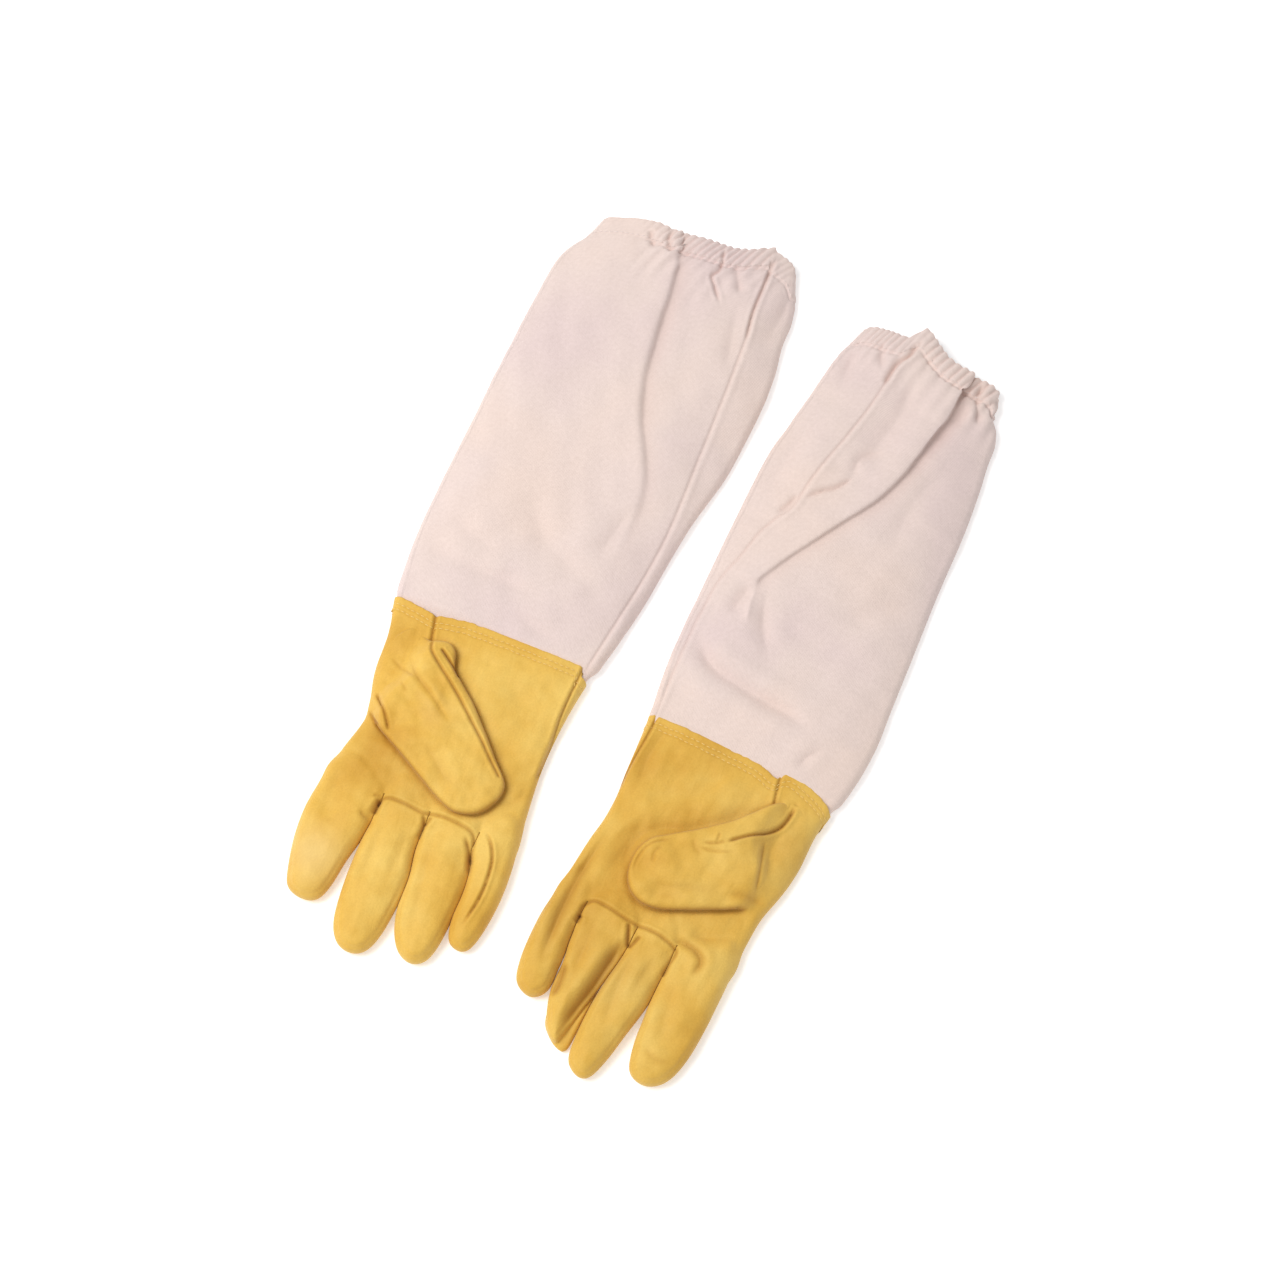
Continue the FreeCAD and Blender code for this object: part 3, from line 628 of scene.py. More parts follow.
def new_piece(name, points, faces, material, normals=None, shade=None, cloth=None):
    """A mesh object from points in metres. Faces all have four corners."""
    mesh = bpy.data.meshes.new(name)
    mesh.vertices.add(len(points))
    mesh.vertices.foreach_set("co", np.asarray(points, np.float32).ravel())
    mesh.loops.add(faces.size)
    mesh.loops.foreach_set("vertex_index", faces.astype(np.int32).ravel())
    mesh.polygons.add(len(faces))
    mesh.polygons.foreach_set("loop_start", np.arange(0, faces.size, 4, dtype=np.int32))
    mesh.polygons.foreach_set("loop_total", np.full(len(faces), 4, np.int32))
    mesh.update(calc_edges=True)
    mesh.shade_smooth()
    if shade is not None:
        mesh.attributes.new("shade", "FLOAT", "POINT").data.foreach_set("value", shade.astype(np.float32))
    if cloth is not None:
        vectors = np.asarray(cloth, np.float32).ravel()
        mesh.attributes.new("cloth", "FLOAT_VECTOR", "POINT").data.foreach_set("vector", vectors)
    if normals is not None:
        mesh.normals_split_custom_set_from_vertices(normals.tolist())
    mesh.materials.append(material)
    piece = bpy.data.objects.new(name, mesh)
    bpy.context.scene.collection.objects.link(piece)
    return piece


def used_points(faces, table):
    """The table's rows for the points that the faces use, and the faces renumbered to them."""
    used, renumbered = np.unique(faces, return_inverse=True)
    return table[used], renumbered.reshape(faces.shape)


# ---------------------------------------------------------------- the leather hand


def hem_line(glove, x, z):
    """The y of the leather's edge: its front above the middle of the glove and its back below."""
    front = np.interp(x, *np.array(glove["hem_front"]).T) + 0.25 * np.sin(x * 0.7) * np.sin(x * 0.23)
    back = np.interp(x, *np.array(glove["hem_back"]).T)
    return back + (front - back) * smooth(z, *FRONT_STARTS)


def stitch_line(glove, x, z):
    """The line that the cuff's stitch rows follow: the leather's edge, without its narrow tab."""
    return np.minimum.reduce([hem_line(glove, x + aside, z) for aside in (-1.5, 0, 1.5)])


class Lattice:
    """The grid that a hand's fields are worked out on, with x and y for every place in its plan."""

    def __init__(self):
        self.x_axis = np.arange(*GRID_X, PITCH)
        self.y_axis = np.arange(*GRID_Y, PITCH)
        self.z = np.arange(*GRID_Z, PITCH).astype(np.float32)
        self.x, self.y = (grid.astype(np.float32)
                          for grid in np.meshgrid(self.x_axis, self.y_axis, indexing="ij"))
        self.ground = np.zeros(self.x.shape, np.float32)

    def skin(self, glove, field, low, high, wrinkles, chosen):
        """Part of a field's surface, between two values of y and where chosen says: a table of each
        point's place, outward direction and tone (painted shade and brown patches), and the faces.
        Wrinkles crease its top."""
        rows = slice(*np.searchsorted(self.y_axis, (low, high)))
        origin = (self.x_axis[0], self.y_axis[rows][0], self.z[0])
        points, faces = net(field[:, rows], origin, PITCH)
        points = relax(points, faces, 2)
        corners = points[faces]
        past_hem = corners[:, :, 1] - hem_line(glove, corners[:, :, 0], corners[:, :, 2])
        before_hem = ~(past_hem > -0.45 * PITCH).all(1)
        faces, middles = faces[before_hem], corners.mean(1)[before_hem]
        height, tone = wrinkles(points[:, 0], points[:, 1])
        points[:, 2] += height * smooth(point_normals(points, faces)[:, 2], 0, 0.4)
        table = np.hstack([points, point_normals(points, faces), tone[:, None]])
        return used_points(faces[chosen(middles)], table)


def joined(skins):
    """Several skins as one, with the points that they share made one."""
    table = np.vstack([table for table, _ in skins])
    counts = np.cumsum([0] + [len(table) for table, _ in skins])
    faces = np.vstack([faces + count for (_, faces), count in zip(skins, counts)])
    _, kept, number = np.unique(np.round(table[:, :3], 3), axis=0, return_index=True, return_inverse=True)
    return table[kept], number.ravel()[faces]


def past_root(glove, x, y):
    """How far outward points are from the line where the thumb starts to sink into the palm."""
    return x * glove["thumb_side"] - THUMB_HINGE[glove["side"]] - 10 * smooth(-y, 40, 60)


def bumps(sizes, seeds, x, y, across, along):
    """The leather's unevenness: broad bumps, small bumps, and wrinkles that run along it."""
    (broad, broad_size), (small, small_size), (long, long_size) = sizes
    return (broad * ripples(x, y, broad_size, seeds[0]) + small * ripples(x, y, small_size, seeds[1])
            + long * ripples(across, along, long_size, seeds[2]))


def hand_fields(glove, lattice):
    """Four fields: the palm with its fingers, each finger, the thumb, and the thumb with the palm."""
    x, y, z = lattice.x, lattice.y, lattice.z
    seed = 11 if glove["side"] == "right" else 23
    flatter_cuff = 0.3 + 0.7 * smooth(-y, 2, 18)
    unevenness = bumps(PALM_BUMPS, (seed, seed + 1, seed + 4), x, y, x, 0.3 * y) * flatter_cuff
    palm_depth = depth_in(glove["palm"], x, y)
    palm = pouch(palm_depth, z, lattice.ground, PALM, unevenness)
    fingers = {}
    for name, outline in glove["fingers"].items():
        depth = depth_in(outline, x, y)
        seam = 0.6 * np.exp(-((depth - FINGER_SEAM) / 0.8) ** 2) * smooth(-y, 150, 175)
        fingers[name] = pouch(depth, z, lattice.ground, FINGER, unevenness - seam)
    if "ring_back" in glove:
        back = pouch(depth_in(glove["ring_back"], x, y), z, lattice.ground, RING_BACK, lattice.ground)
        fingers["ring"] = np.minimum(fingers["ring"], back)
    hand = np.maximum(merge(palm, np.minimum.reduce(list(fingers.values())), ROOT_ROUNDING), -z)

    across = 0.65 * x - 0.75 * glove["thumb_side"] * y
    along = 0.75 * glove["thumb_side"] * x + 0.65 * y
    thumb_relief = bumps(THUMB_BUMPS, (seed + 2, seed + 3, seed + 5), x, y, across, 0.25 * along)
    palm_top = PALM["radius"] + crest(palm_depth, **PALM) + unevenness
    sink = THUMB_SINK * smooth(past_root(glove, x, y), -12, 4)
    thumb = pouch(depth_in(glove["thumb"], x, y), z, palm_top + THUMB_GAP - sink, THUMB, thumb_relief)
    rounding = 0.05 + 6 * smooth(x * glove["thumb_side"] - THUMB_HINGE[glove["side"]], 0, 12)[:, :, None]
    return hand, fingers, thumb, np.maximum(merge(hand, thumb, rounding), -z)


def hand_skins(glove):
    """The skins of one hand by name: the palm, front and back, each finger, and the thumb."""
    lattice = Lattice()
    hand, fingers, thumb, rooted = hand_fields(glove, lattice)
    hem = lattice.y[:, :, None] - hem_line(glove, lattice.x[:, :, None], lattice.z[None, None, :])

    def front_wrinkles(x, y):
        height, tone = creases(glove["front_creases"], x, y)
        hem_front = stitch_line(glove, x, 20.0)
        for row in CUFF_ROWS:
            groove = np.exp(-((y - hem_front - row) / 0.8) ** 2)
            height -= 0.4 * groove
            # Painted shade in the grooves of the cuff's stitch rows.
            tone += 0.25 * groove
        apart = np.abs(depth_in(glove["thumb"], x, y))
        beside = 1 - smooth(past_root(glove, x, y), -9, -3)
        # Painted shadow: the palm is browned just outside the thumb's outline, where the thumb lies on it;
        # the brown patches added here are partly painted shade.
        tone += stains_and_painted_shade(glove, x, y) + 1.5 * beside * np.exp(-apart / 1.0)
        return height - 0.8 * beside * np.exp(-(apart / 2.0) ** 2), tone

    def thumb_wrinkles(x, y):
        height, tone = creases(glove["thumb_creases"], x, y)
        # Painted shade along the thumb's outline, where it lies on the palm.
        edge = np.exp(-(depth_in(glove["thumb"], x, y) / 0.9) ** 2)
        edge *= 1 - smooth(past_root(glove, x, y), -9, -3)
        return height, tone + stains_and_painted_shade(glove, x, y) + 1.2 * edge

    def rooted_wrinkles(x, y):
        on_thumb = depth_in(glove["thumb"], x, y) > 1
        return [np.where(on_thumb, a, b) for a, b in zip(thumb_wrinkles(x, y), front_wrinkles(x, y))]

    def is_finger(middles):
        return middles[:, 1] <= FINGER_CUT

    def is_rooted(middles):
        return middles[:, 0] * glove["thumb_side"] > THUMB_HINGE[glove["side"]]

    skins = {
        "palm": joined([
            lattice.skin(glove, np.maximum(hand, hem), FINGER_CUT - 8, HEM_Y, front_wrinkles,
                         lambda middles: ~is_finger(middles) & ~is_rooted(middles)),
            lattice.skin(glove, np.maximum(rooted, hem), FINGER_CUT - 8, HEM_Y, rooted_wrinkles,
                         lambda middles: ~is_finger(middles) & is_rooted(middles))]),
        "thumb": lattice.skin(glove, thumb, FINGER_CUT - 9, HEM_Y, thumb_wrinkles,
                              lambda middles: ~is_rooted(middles)),
    }
    for name, field in fingers.items():
        others = np.minimum.reduce([other for key, other in fingers.items() if key != name])
        own = np.maximum(hand, (field - others) / 2 + FINGER_SPACE)
        skins[name] = lattice.skin(glove, own, GRID_Y[0], FINGER_CUT + 8, front_wrinkles, is_finger)
    return skins


def hem_lining(points, faces, normals):
    """The leather's turned-in edge: its thickness at the cuff and a strip of its inside."""
    starts, ends = faces.ravel(), np.roll(faces, -1, 1).ravel()
    forward = starts.astype(np.int64) * len(points) + ends
    backward = ends.astype(np.int64) * len(points) + starts
    open_edge = ~np.isin(forward, backward) & (points[starts, 1] > -12)
    a, b = starts[open_edge], ends[open_edge]
    rim, numbers = np.unique(np.concatenate([a, b]), return_inverse=True)
    a, b = numbers[:len(a)], numbers[len(a):]
    inward = -normals[rim] * (1, 0, 1)
    inward /= np.maximum(np.linalg.norm(inward, axis=1), 1e-6)[:, None]
    rings = [points[rim],
             points[rim] + inward * LEATHER * 0.5 + (0, 0.35, 0),
             points[rim] + inward * LEATHER,
             points[rim] + inward * LEATHER + (0, -HEM_LINING, 0)]
    count = len(rim)
    quads = [np.stack([b + i * count, a + i * count, a + (i + 1) * count, b + (i + 1) * count], 1)
             for i in range(len(rings) - 1)]
    return np.vstack(rings), np.vstack(quads)


def build_hand(glove, place, leather):
    """The leather pieces of one hand: the palm and its cuff edge ride on the palm's body, and the thumb
    and fingers are left in place.
    """
    side = glove["side"]
    palm_body = side + "_palm"
    stands_for = {
        "palm": ["palm_front", "hand_back", "finger_inset_stitching"],
        "index": ["index_stall"], "middle": ["middle_front", "middle_back"],
        "ring": ["ring_front", "ring_back"], "little": ["little_stall"],
        "thumb": ["thumb_front", "thumb_back", "thumb_stitching"],
    }
    skins = hand_skins(glove)
    for name, (table, faces) in skins.items():
        points, normals, tone = table[:, :3], table[:, 3:6], table[:, 6]
        piece = new_piece(f"{side}_{name}_leather", place.row(points), faces, leather,
                          place.directions(normals), tone, points * MM)
        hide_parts(*(f"{side}_{node}" for node in stands_for[name]))
        if name == "palm":
            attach(piece, palm_body)
        elif name == "thumb":
            hinge = THUMB_HINGE[side]
            ends = (hinge, hinge - THUMB_BEND)
            bend = [place.point(glove["thumb_side"] * x, -50, MIDDLE_HEIGHT) for x in ends]
            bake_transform(piece)
        else:
            bend = [place.point(0, y, MIDDLE_HEIGHT) for y in FINGER_BEND]
            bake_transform(piece)
    table, faces = skins["palm"]
    points = table[:, :3]
    lining_points, lining_faces = hem_lining(points, faces, table[:, 3:6])
    lining = new_piece(side + "_cuff_edge_leather", place.row(lining_points), lining_faces, leather,
                       shade=np.zeros(len(lining_points)), cloth=lining_points * MM)
    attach(lining, palm_body)
    return points, faces


# ---------------------------------------------------------------- stitches


def stitch_mesh(starts, ends, ups):
    """One closed short thread for each pair of points, six-sided and tapered at its ends."""
    along = ends - starts
    side = np.cross(along, ups)
    side /= np.maximum(np.linalg.norm(side, axis=1), 1e-9)[:, None]
    up = np.cross(side, along)
    up /= np.maximum(np.linalg.norm(up, axis=1), 1e-9)[:, None]
    profile = ((0.0, 0.25, -0.5), (0.18, 1.0, 0.0), (0.82, 1.0, 0.0), (1.0, 0.25, -0.5))
    sides = 6
    rings = []
    for share, width, lift in profile:
        for i in range(sides):
            turn = 2 * math.pi * i / sides
            rings.append(starts + along * share + STITCH_RADIUS
                         * (width * math.cos(turn) * side + (width * math.sin(turn) + lift) * up))
    points = np.stack(rings, 1)
    per_stitch = len(profile) * sides
    quads = []
    for ring in range(len(profile) - 1):
        for i in range(sides):
            this, after = ring * sides + i, ring * sides + (i + 1) % sides
            quads.append((this, after, after + sides, this + sides))
    for first in (0, per_stitch - sides):
        order = (3, 2, 1, 0, 5, 4) if first == 0 else (0, 1, 2, 3, 4, 5)
        quads.append(tuple(first + order[i] for i in (0, 1, 2, 3)))
        quads.append(tuple(first + order[i] for i in (0, 3, 4, 5)))
    faces = np.array(quads)[None] + per_stitch * np.arange(len(starts))[:, None, None]
    return points.reshape(-1, 3), faces.reshape(-1, 4)


def spaced(line, pitch):
    """Points evenly spaced along a line of points."""
    lengths = np.concatenate([[0], np.cumsum(np.linalg.norm(np.diff(line, axis=0), axis=1))])
    marks = np.arange(0, lengths[-1], pitch)
    return np.stack([np.interp(marks, lengths, line[:, i]) for i in range(3)], 1)


def stitches_along(line, ups):
    """Stitches laid along a line of points on a surface whose outward directions are ups."""
    fine = spaced(line, STITCH_FINENESS)
    up = np.stack([np.interp(np.linspace(0, 1, len(fine)), np.linspace(0, 1, len(ups)), part)
                   for part in ups.T], 1)
    length, pitch = int(STITCH_LENGTH / STITCH_FINENESS), int(STITCH_PITCH / STITCH_FINENESS)
    first = np.arange(0, len(fine) - length, pitch)
    last = first + length
    lift = STITCH_RADIUS * 0.3 * up[first]
    return stitch_mesh(fine[first] + lift, fine[last] + lift, up[first])


def cuff_stitches(glove, place, points, faces, thread):
    """Two rows of stitches round the cuff, over the front and the back."""
    surface = BVHTree.FromPolygons(points.tolist(), faces.tolist())
    meshes = []
    for back in (False, True):
        for row in CUFF_ROWS:
            line, ups = [], []
            for x in np.arange(-66, 70, 0.5):
                z = 0.0 if back else 12.0
                y = float(stitch_line(glove, x, z)) + row
                ray = Vector((0, 0, 1)) if back else Vector((0, 0, -1))
                hit, normal, _, _ = surface.ray_cast(Vector((x, y, -5 if back else 40)), ray)
                if hit and abs(normal.z) > 0.35:
                    line.append(hit)
                    ups.append(normal)
            meshes.append(stitches_along(np.array(line), np.array(ups)))
    add_stitches(glove["side"] + "_cuff_stitches", meshes, place, thread,
                 glove["side"] + "_cuff_stitching", glove["side"] + "_palm")


def add_stitches(name, meshes, place, thread, node, body):
    """One piece made of several sets of stitches, in place of a node and riding on a body."""
    points, faces, count = [], [], 0
    for own_points, own_faces in meshes:
        points.append(own_points)
        faces.append(own_faces + count)
        count += len(own_points)
    piece = new_piece(name, place.row(np.vstack(points)), np.vstack(faces), thread)
    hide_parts(node)
    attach(piece, body)


# ---------------------------------------------------------------- the canvas sleeve


def along_glove(pairs, y):
    """A value that changes along the glove, given as (y, value) pairs."""
    return np.interp(y, *np.array(pairs, float).T)


def folded_top(glove, y, left, right):
    """The sleeve's upper layer at y: the x of its points, how much its fold moves them up, and how
    deep in the hollow beside the fold they are. The layer on the fold's left runs over its edge
    and turns back under itself."""
    overlap = along_glove(glove["fold_overlap"], y)
    lift = along_glove(glove["fold_lift"], y)
    cloth = np.linspace(0, right - left + 2 * overlap, TOP_STEPS)
    past = cloth - (across_at(glove["fold"], y) - left)
    x = left + np.where(past < 0, cloth, np.where(past < overlap, cloth - 2 * past, cloth - 2 * overlap))
    above = 2 * lift * smooth(past, -26, -2)
    under = 2 * lift * (1 - np.clip(past / max(overlap, 0.1), 0, 1))
    beside = np.maximum(past - 2 * overlap, 0) / glove["valley_width"]
    hollow = along_glove(glove["fold_valley"], y) * np.exp(-beside ** 2)
    hollow *= smooth(past, -0.5, 1.5 + overlap)
    height = np.where(past < 0, above, under) - hollow
    spread = np.exp(-(np.arange(-8, 9) / 3.0) ** 2)
    spread /= spread.sum()
    ends = ((len(spread) // 2, len(spread) // 2),)
    x = np.convolve(np.pad(x, ends, "reflect", reflect_type="odd"), spread, "valid")
    height = np.convolve(np.pad(height, ends, "edge"), spread, "valid")
    return x, height, hollow


def sleeve_section(glove, y):
    """The closed section of the sleeve at y: x, z, distance along the cloth, and the fold's hollow."""
    tuck = TUCK * (1 - smooth(y, -3, 5))
    left = across_at(glove["left_edge"], y) + tuck
    right = across_at(glove["right_edge"], y) - tuck
    radius = 5.0 - 1.4 * smooth(y, 0, 60) - tuck
    height = along_glove(SLEEVE_HEIGHTS, y) - 2 * tuck
    form = {"radius": radius, "height": height, "crown": 40.0}
    top_x, lift, hollow = folded_top(glove, y, left + radius, right - radius)
    inner = np.minimum(top_x - left, right - top_x)
    top_z = radius + crest(inner, **form) + lift
    angle = np.radians(np.linspace(90, -90, ARC_STEPS + 2)[1:-1])
    reach = radius * (1 - np.cos(angle))
    arc_z = np.where(angle > 0, crest(reach, **form), radius) * np.sin(angle) + radius
    bottom_x = np.linspace(right - radius, left + radius, BOTTOM_STEPS)
    x = np.concatenate([top_x, right - reach, bottom_x, (left + reach)[::-1]])
    z = np.concatenate([top_z, arc_z, np.zeros(BOTTOM_STEPS), arc_z[::-1]]) + tuck
    steps = np.hypot(np.diff(x, append=x[0]), np.diff(z, append=z[0]))
    hollow = np.concatenate([hollow, np.zeros(len(x) - TOP_STEPS)])
    return x, z, np.concatenate([[0], np.cumsum(steps)[:-1]]), hollow


def grid_normals(points):
    """Outward directions of a closed tube of points, rows along it and columns round it."""
    round_it = np.roll(points, -1, 1) - np.roll(points, 1, 1)
    along = np.gradient(points, axis=0)
    normals = np.cross(round_it, along)
    return normals / np.maximum(np.linalg.norm(normals, axis=2), 1e-9)[:, :, None]


def sleeve_tube(glove):
    """The outside of the sleeve from inside the cuff to its opening: points, outward directions,
    places on the cloth, and how deep in a crease each point is, which is painted as shade."""
    rows = np.concatenate([np.arange(SLEEVE_START, FINE_ROWS_START, ROW_STEP),
                           np.arange(FINE_ROWS_START, SLEEVE_END + 0.1, FINE_ROW_STEP)])
    sections = [sleeve_section(glove, y) for y in rows]
    x, z, cloth, hollow = (np.array(part) for part in zip(*sections))
    opening = np.array(glove["opening"], float).T
    nominal = rows[:, None] * np.ones_like(x)
    y = nominal + (np.interp(x, *opening) - SLEEVE_END) * smooth(nominal, FINE_ROWS_START, SLEEVE_END)
    points = np.stack([x, y, z], 2)
    normals = grid_normals(points)

    seed = 31 if glove["side"] == "right" else 47
    on_top = smooth(z, 3, 7)
    folds, tone = creases(glove["sleeve_creases"], x, y)
    relief = folds + 0.7 * ripples(x, y, 55, seed) + 0.25 * ripples(x, y, 16, seed + 1)
    gap, _, side = distance(spline(glove["seam"]), x, y)
    felled = 0.45 * np.exp(-((gap - 2.6) / 1.8) ** 2) * (side > 0)
    relief += felled - 0.9 * np.exp(-(gap / 0.8) ** 1.6)
    # Painted shade in the seam's groove and in the hollow beside the fold, on top of the creases' painted
    # shade.
    tone = tone + 0.8 * np.exp(-(gap / 0.9) ** 2) + 0.45 * hollow
    relief *= on_top * smooth(nominal, -4, 8)

    strength = np.interp(x, *np.array(glove["gathers"], float).T)
    phase = 2 * math.pi * cloth / GATHER_PITCH + 2.2 * ripples(cloth, 0 * cloth, 30, seed + 2)
    in_casing = smooth(nominal, SLEEVE_END - CASING - 5, SLEEVE_END - CASING + 3)
    ridge = np.sin(phase + 0.5 * np.sin(phase + 1))
    below = smooth(nominal, 236, 275) * (1 - in_casing)
    pucker = np.sin(phase * 0.5 + 1.0) * (0.6 + 0.4 * ripples(cloth, nominal, 40, seed + 3))
    rise = np.clip((nominal - SLEEVE_END + CASING) / CASING, 0, 1)
    puff = 1.1 * in_casing * np.sin(np.pi * rise) ** 0.7
    stitched = 1.3 * np.exp(-((nominal - SLEEVE_END + CASING) / 1.2) ** 2)
    gathered = 0.6 * in_casing * ridge + 0.9 * below * pucker + puff - stitched
    relief += strength * gathered * (0.3 + 0.7 * on_top)
    points += normals * relief[:, :, None]
    points[:, :, 1] += 0.12 * strength * in_casing * ridge
    points[:, :, 2] = np.maximum(points[:, :, 2], 0.1)
    # Painted shade between the gathers of the turned hem.
    tone = (tone + 0.35 * strength * in_casing * (1 - ridge)) * on_top
    return points, grid_normals(points), np.stack([cloth, nominal, 0 * cloth], 2), tone


def turned_hem(points, normals, inset):
    """The sleeve's end turned over the elastic: rows round its edge, then back down its inside."""
    last, out = points[-1], normals[-1]
    half = inset / 2
    rows = []
    for angle in np.radians((30, 60, 90, 120, 150)):
        rows.append(last + (0, half * math.sin(angle), 0) - out * half * (1 - math.cos(angle)))
    inner = [points[-1 - i] - normals[-1 - i] * inset for i in range(0, CASING_ROWS, 2)]
    return np.array(rows + inner)


def tube_faces(rows, columns):
    """Four-sided faces of a tube of points, closed round it."""
    r, c = np.meshgrid(np.arange(rows - 1), np.arange(columns), indexing="ij")
    after = (c + 1) % columns
    faces = [r * columns + c, (r + 1) * columns + c, (r + 1) * columns + after, r * columns + after]
    return np.stack([f.ravel() for f in faces], 1)


def build_sleeve(glove, place, canvas, thread, elastic):
    """The canvas sleeve, the elastic in its turned hem, and the stitches of its hem."""
    side = glove["side"]
    points, normals, cloth, tone = sleeve_tube(glove)
    hem = turned_hem(points, normals, CANVAS_FOLDED)
    whole = np.concatenate([points, hem])
    hem_cloth = np.repeat(cloth[-1:], len(hem), 0) + np.arange(len(hem))[:, None, None] * (0, 1.0, 0)
    cloth = np.concatenate([cloth, hem_cloth])
    tone = np.concatenate([tone, np.zeros(hem.shape[:2])])
    faces = tube_faces(len(whole), whole.shape[1])
    sleeve = new_piece(side + "_canvas_sleeve", place.row(whole.reshape(-1, 3)), faces, canvas,
                       shade=tone.ravel(), cloth=cloth.reshape(-1, 3) * MM)
    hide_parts(*(f"{side}_{node}" for node in
                          ("sleeve_tube", "sleeve_sewn_edge", "sleeve_seam", "elastic_casing")))
    bend = [place.point(0, y, SLEEVE_BEND_HEIGHT) for y in SLEEVE_BEND]
    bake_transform(sleeve)

    within = slice(4 - CASING_ROWS, -3, 3)
    band = points[within] - normals[within] * CANVAS_FOLDED / 2
    band_piece = new_piece(side + "_elastic_band", place.row(band.reshape(-1, 3)),
                           tube_faces(len(band), band.shape[1]), elastic)
    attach(band_piece, side + "_sleeve")
    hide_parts(side + "_elastic_band")

    row = -CASING_ROWS - 1
    ring = np.vstack([points[row], points[row, :1]])
    ring_up = np.vstack([normals[row], normals[row, :1]])
    add_stitches(side + "_casing_stitches", [stitches_along(ring, ring_up)], place, thread,
                 side + "_casing_stitching", side + "_sleeve")


# ---------------------------------------------------------------- materials


class Paint:
    """A new material, and the nodes that colour and roughen it."""

    def __init__(self, name):
        self.material = bpy.data.materials.new(name)
        self.material.use_nodes = True
        self.nodes = self.material.node_tree.nodes
        self.link = self.material.node_tree.links.new
        self.shader = self.nodes["Principled BSDF"]

    def surface(self, values):
        """Sets the shader's own values."""
        for name, value in values.items():
            self.shader.inputs[name].default_value = value

    def add(self, kind, **settings):
        """A node with the given inputs and settings."""
        node = self.nodes.new(kind)
        for key, value in settings.items():
            if key in node.inputs:
                node.inputs[key].default_value = value
            else:
                setattr(node, key, value)
        return node

    def texture(self, kind, where, **settings):
        """A texture node at a place."""
        node = self.add(kind, **settings)
        self.link(where, node.inputs["Vector"])
        return node

    def ramp(self, value, *stops):
        """A colour ramp over value, from (place, colour) stops."""
        node = self.add("ShaderNodeValToRGB")
        elements = node.color_ramp.elements
        while len(elements) < len(stops):
            elements.new(0.5)
        for element, (place, tint) in zip(elements, stops):
            element.position = place
            element.color = tint
        self.link(value, node.inputs["Fac"])
        return node.outputs["Color"]

    def speckled(self, base, speckle):
        """Base multiplied by a speckle."""
        node = self.add("ShaderNodeMix", data_type="RGBA", blend_type="MULTIPLY")
        node.inputs["Factor"].default_value = 1.0
        self.link(base, node.inputs["A"])
        self.link(speckle, node.inputs["B"])
        return node.outputs["Result"]

    def tinted(self, base, value, top, most, tint):
        """Base mixed with a tint: not at all where value is 0, and by most where it is top."""
        share = self.add("ShaderNodeMapRange")
        share.inputs["From Max"].default_value = top
        share.inputs["To Max"].default_value = most
        self.link(value, share.inputs["Value"])
        node = self.add("ShaderNodeMix", data_type="RGBA", blend_type="MIX")
        node.inputs["B"].default_value = tint
        self.link(share.outputs["Result"], node.inputs["Factor"])
        self.link(base, node.inputs["A"])
        return node.outputs["Result"]

    def bump(self, height, strength, distance, under=None):
        """A direction roughened by a height, on top of another."""
        node = self.add("ShaderNodeBump", Strength=strength, Distance=distance)
        self.link(height, node.inputs["Height"])
        if under is not None:
            self.link(under, node.inputs["Normal"])
        return node.outputs["Normal"]


def colour(red, green, blue):
    """A screen colour, 0 to 255, as the linear colour that shaders use."""
    return tuple((c / 255) ** 2.2 for c in (red, green, blue)) + (1.0,)


def leather_material():
    """Soft yellow glove leather: a fine grain, mottled tones, creases browned by painted shade, brown
    patches that are partly painted shade, and paler patches.
    """
    paint = Paint("leather")
    where = paint.add("ShaderNodeAttribute", attribute_name="cloth").outputs["Vector"]
    shade = paint.add("ShaderNodeAttribute", attribute_name="shade").outputs["Fac"]
    tones = paint.texture("ShaderNodeTexNoise", where, Scale=22.0, Detail=4.0, Roughness=0.55)
    pores = paint.texture("ShaderNodeTexNoise", where, Scale=900.0, Detail=3.0, Roughness=0.6)
    base = paint.ramp(tones.outputs["Fac"], (0.30, colour(211, 160, 60)), (0.48, colour(222, 176, 77)),
                      (0.70, colour(230, 191, 97)))
    speckle = paint.ramp(pores.outputs["Fac"], (0.3, (0.93, 0.92, 0.9, 1)), (0.7, (1.03, 1.03, 1.03, 1)))
    base = paint.speckled(base, speckle)
    # Painted shade: the shade attribute browns the leather in its creases, stitch grooves, along the
    # thumb's outline and in the brown patches that stand for shade.
    base = paint.tinted(base, shade, 2.2, 0.85, colour(150, 95, 18))
    base = paint.tinted(base, shade, -1.0, 0.5, colour(244, 216, 158))
    paint.link(base, paint.shader.inputs["Base Color"])

    grain = paint.texture("ShaderNodeTexVoronoi", where, Scale=950.0)
    stretched = paint.add("ShaderNodeMapping")
    stretched.inputs["Scale"].default_value = (1.0, 0.35, 1.0)
    paint.link(where, stretched.inputs["Vector"])
    wrinkles = paint.texture("ShaderNodeTexNoise", stretched.outputs["Vector"], Scale=190.0, Detail=5.0,
                             Roughness=0.6, Distortion=0.5)
    fine = paint.bump(grain.outputs["Distance"], 0.25, 0.0002)
    broad = paint.bump(wrinkles.outputs["Fac"], 0.35, 0.0012, fine)
    paint.link(broad, paint.shader.inputs["Normal"])
    paint.surface({"Roughness": 0.62, "Specular IOR Level": 0.3, "Sheen Weight": 0.15,
                   "Sheen Roughness": 0.5})
    return paint.material


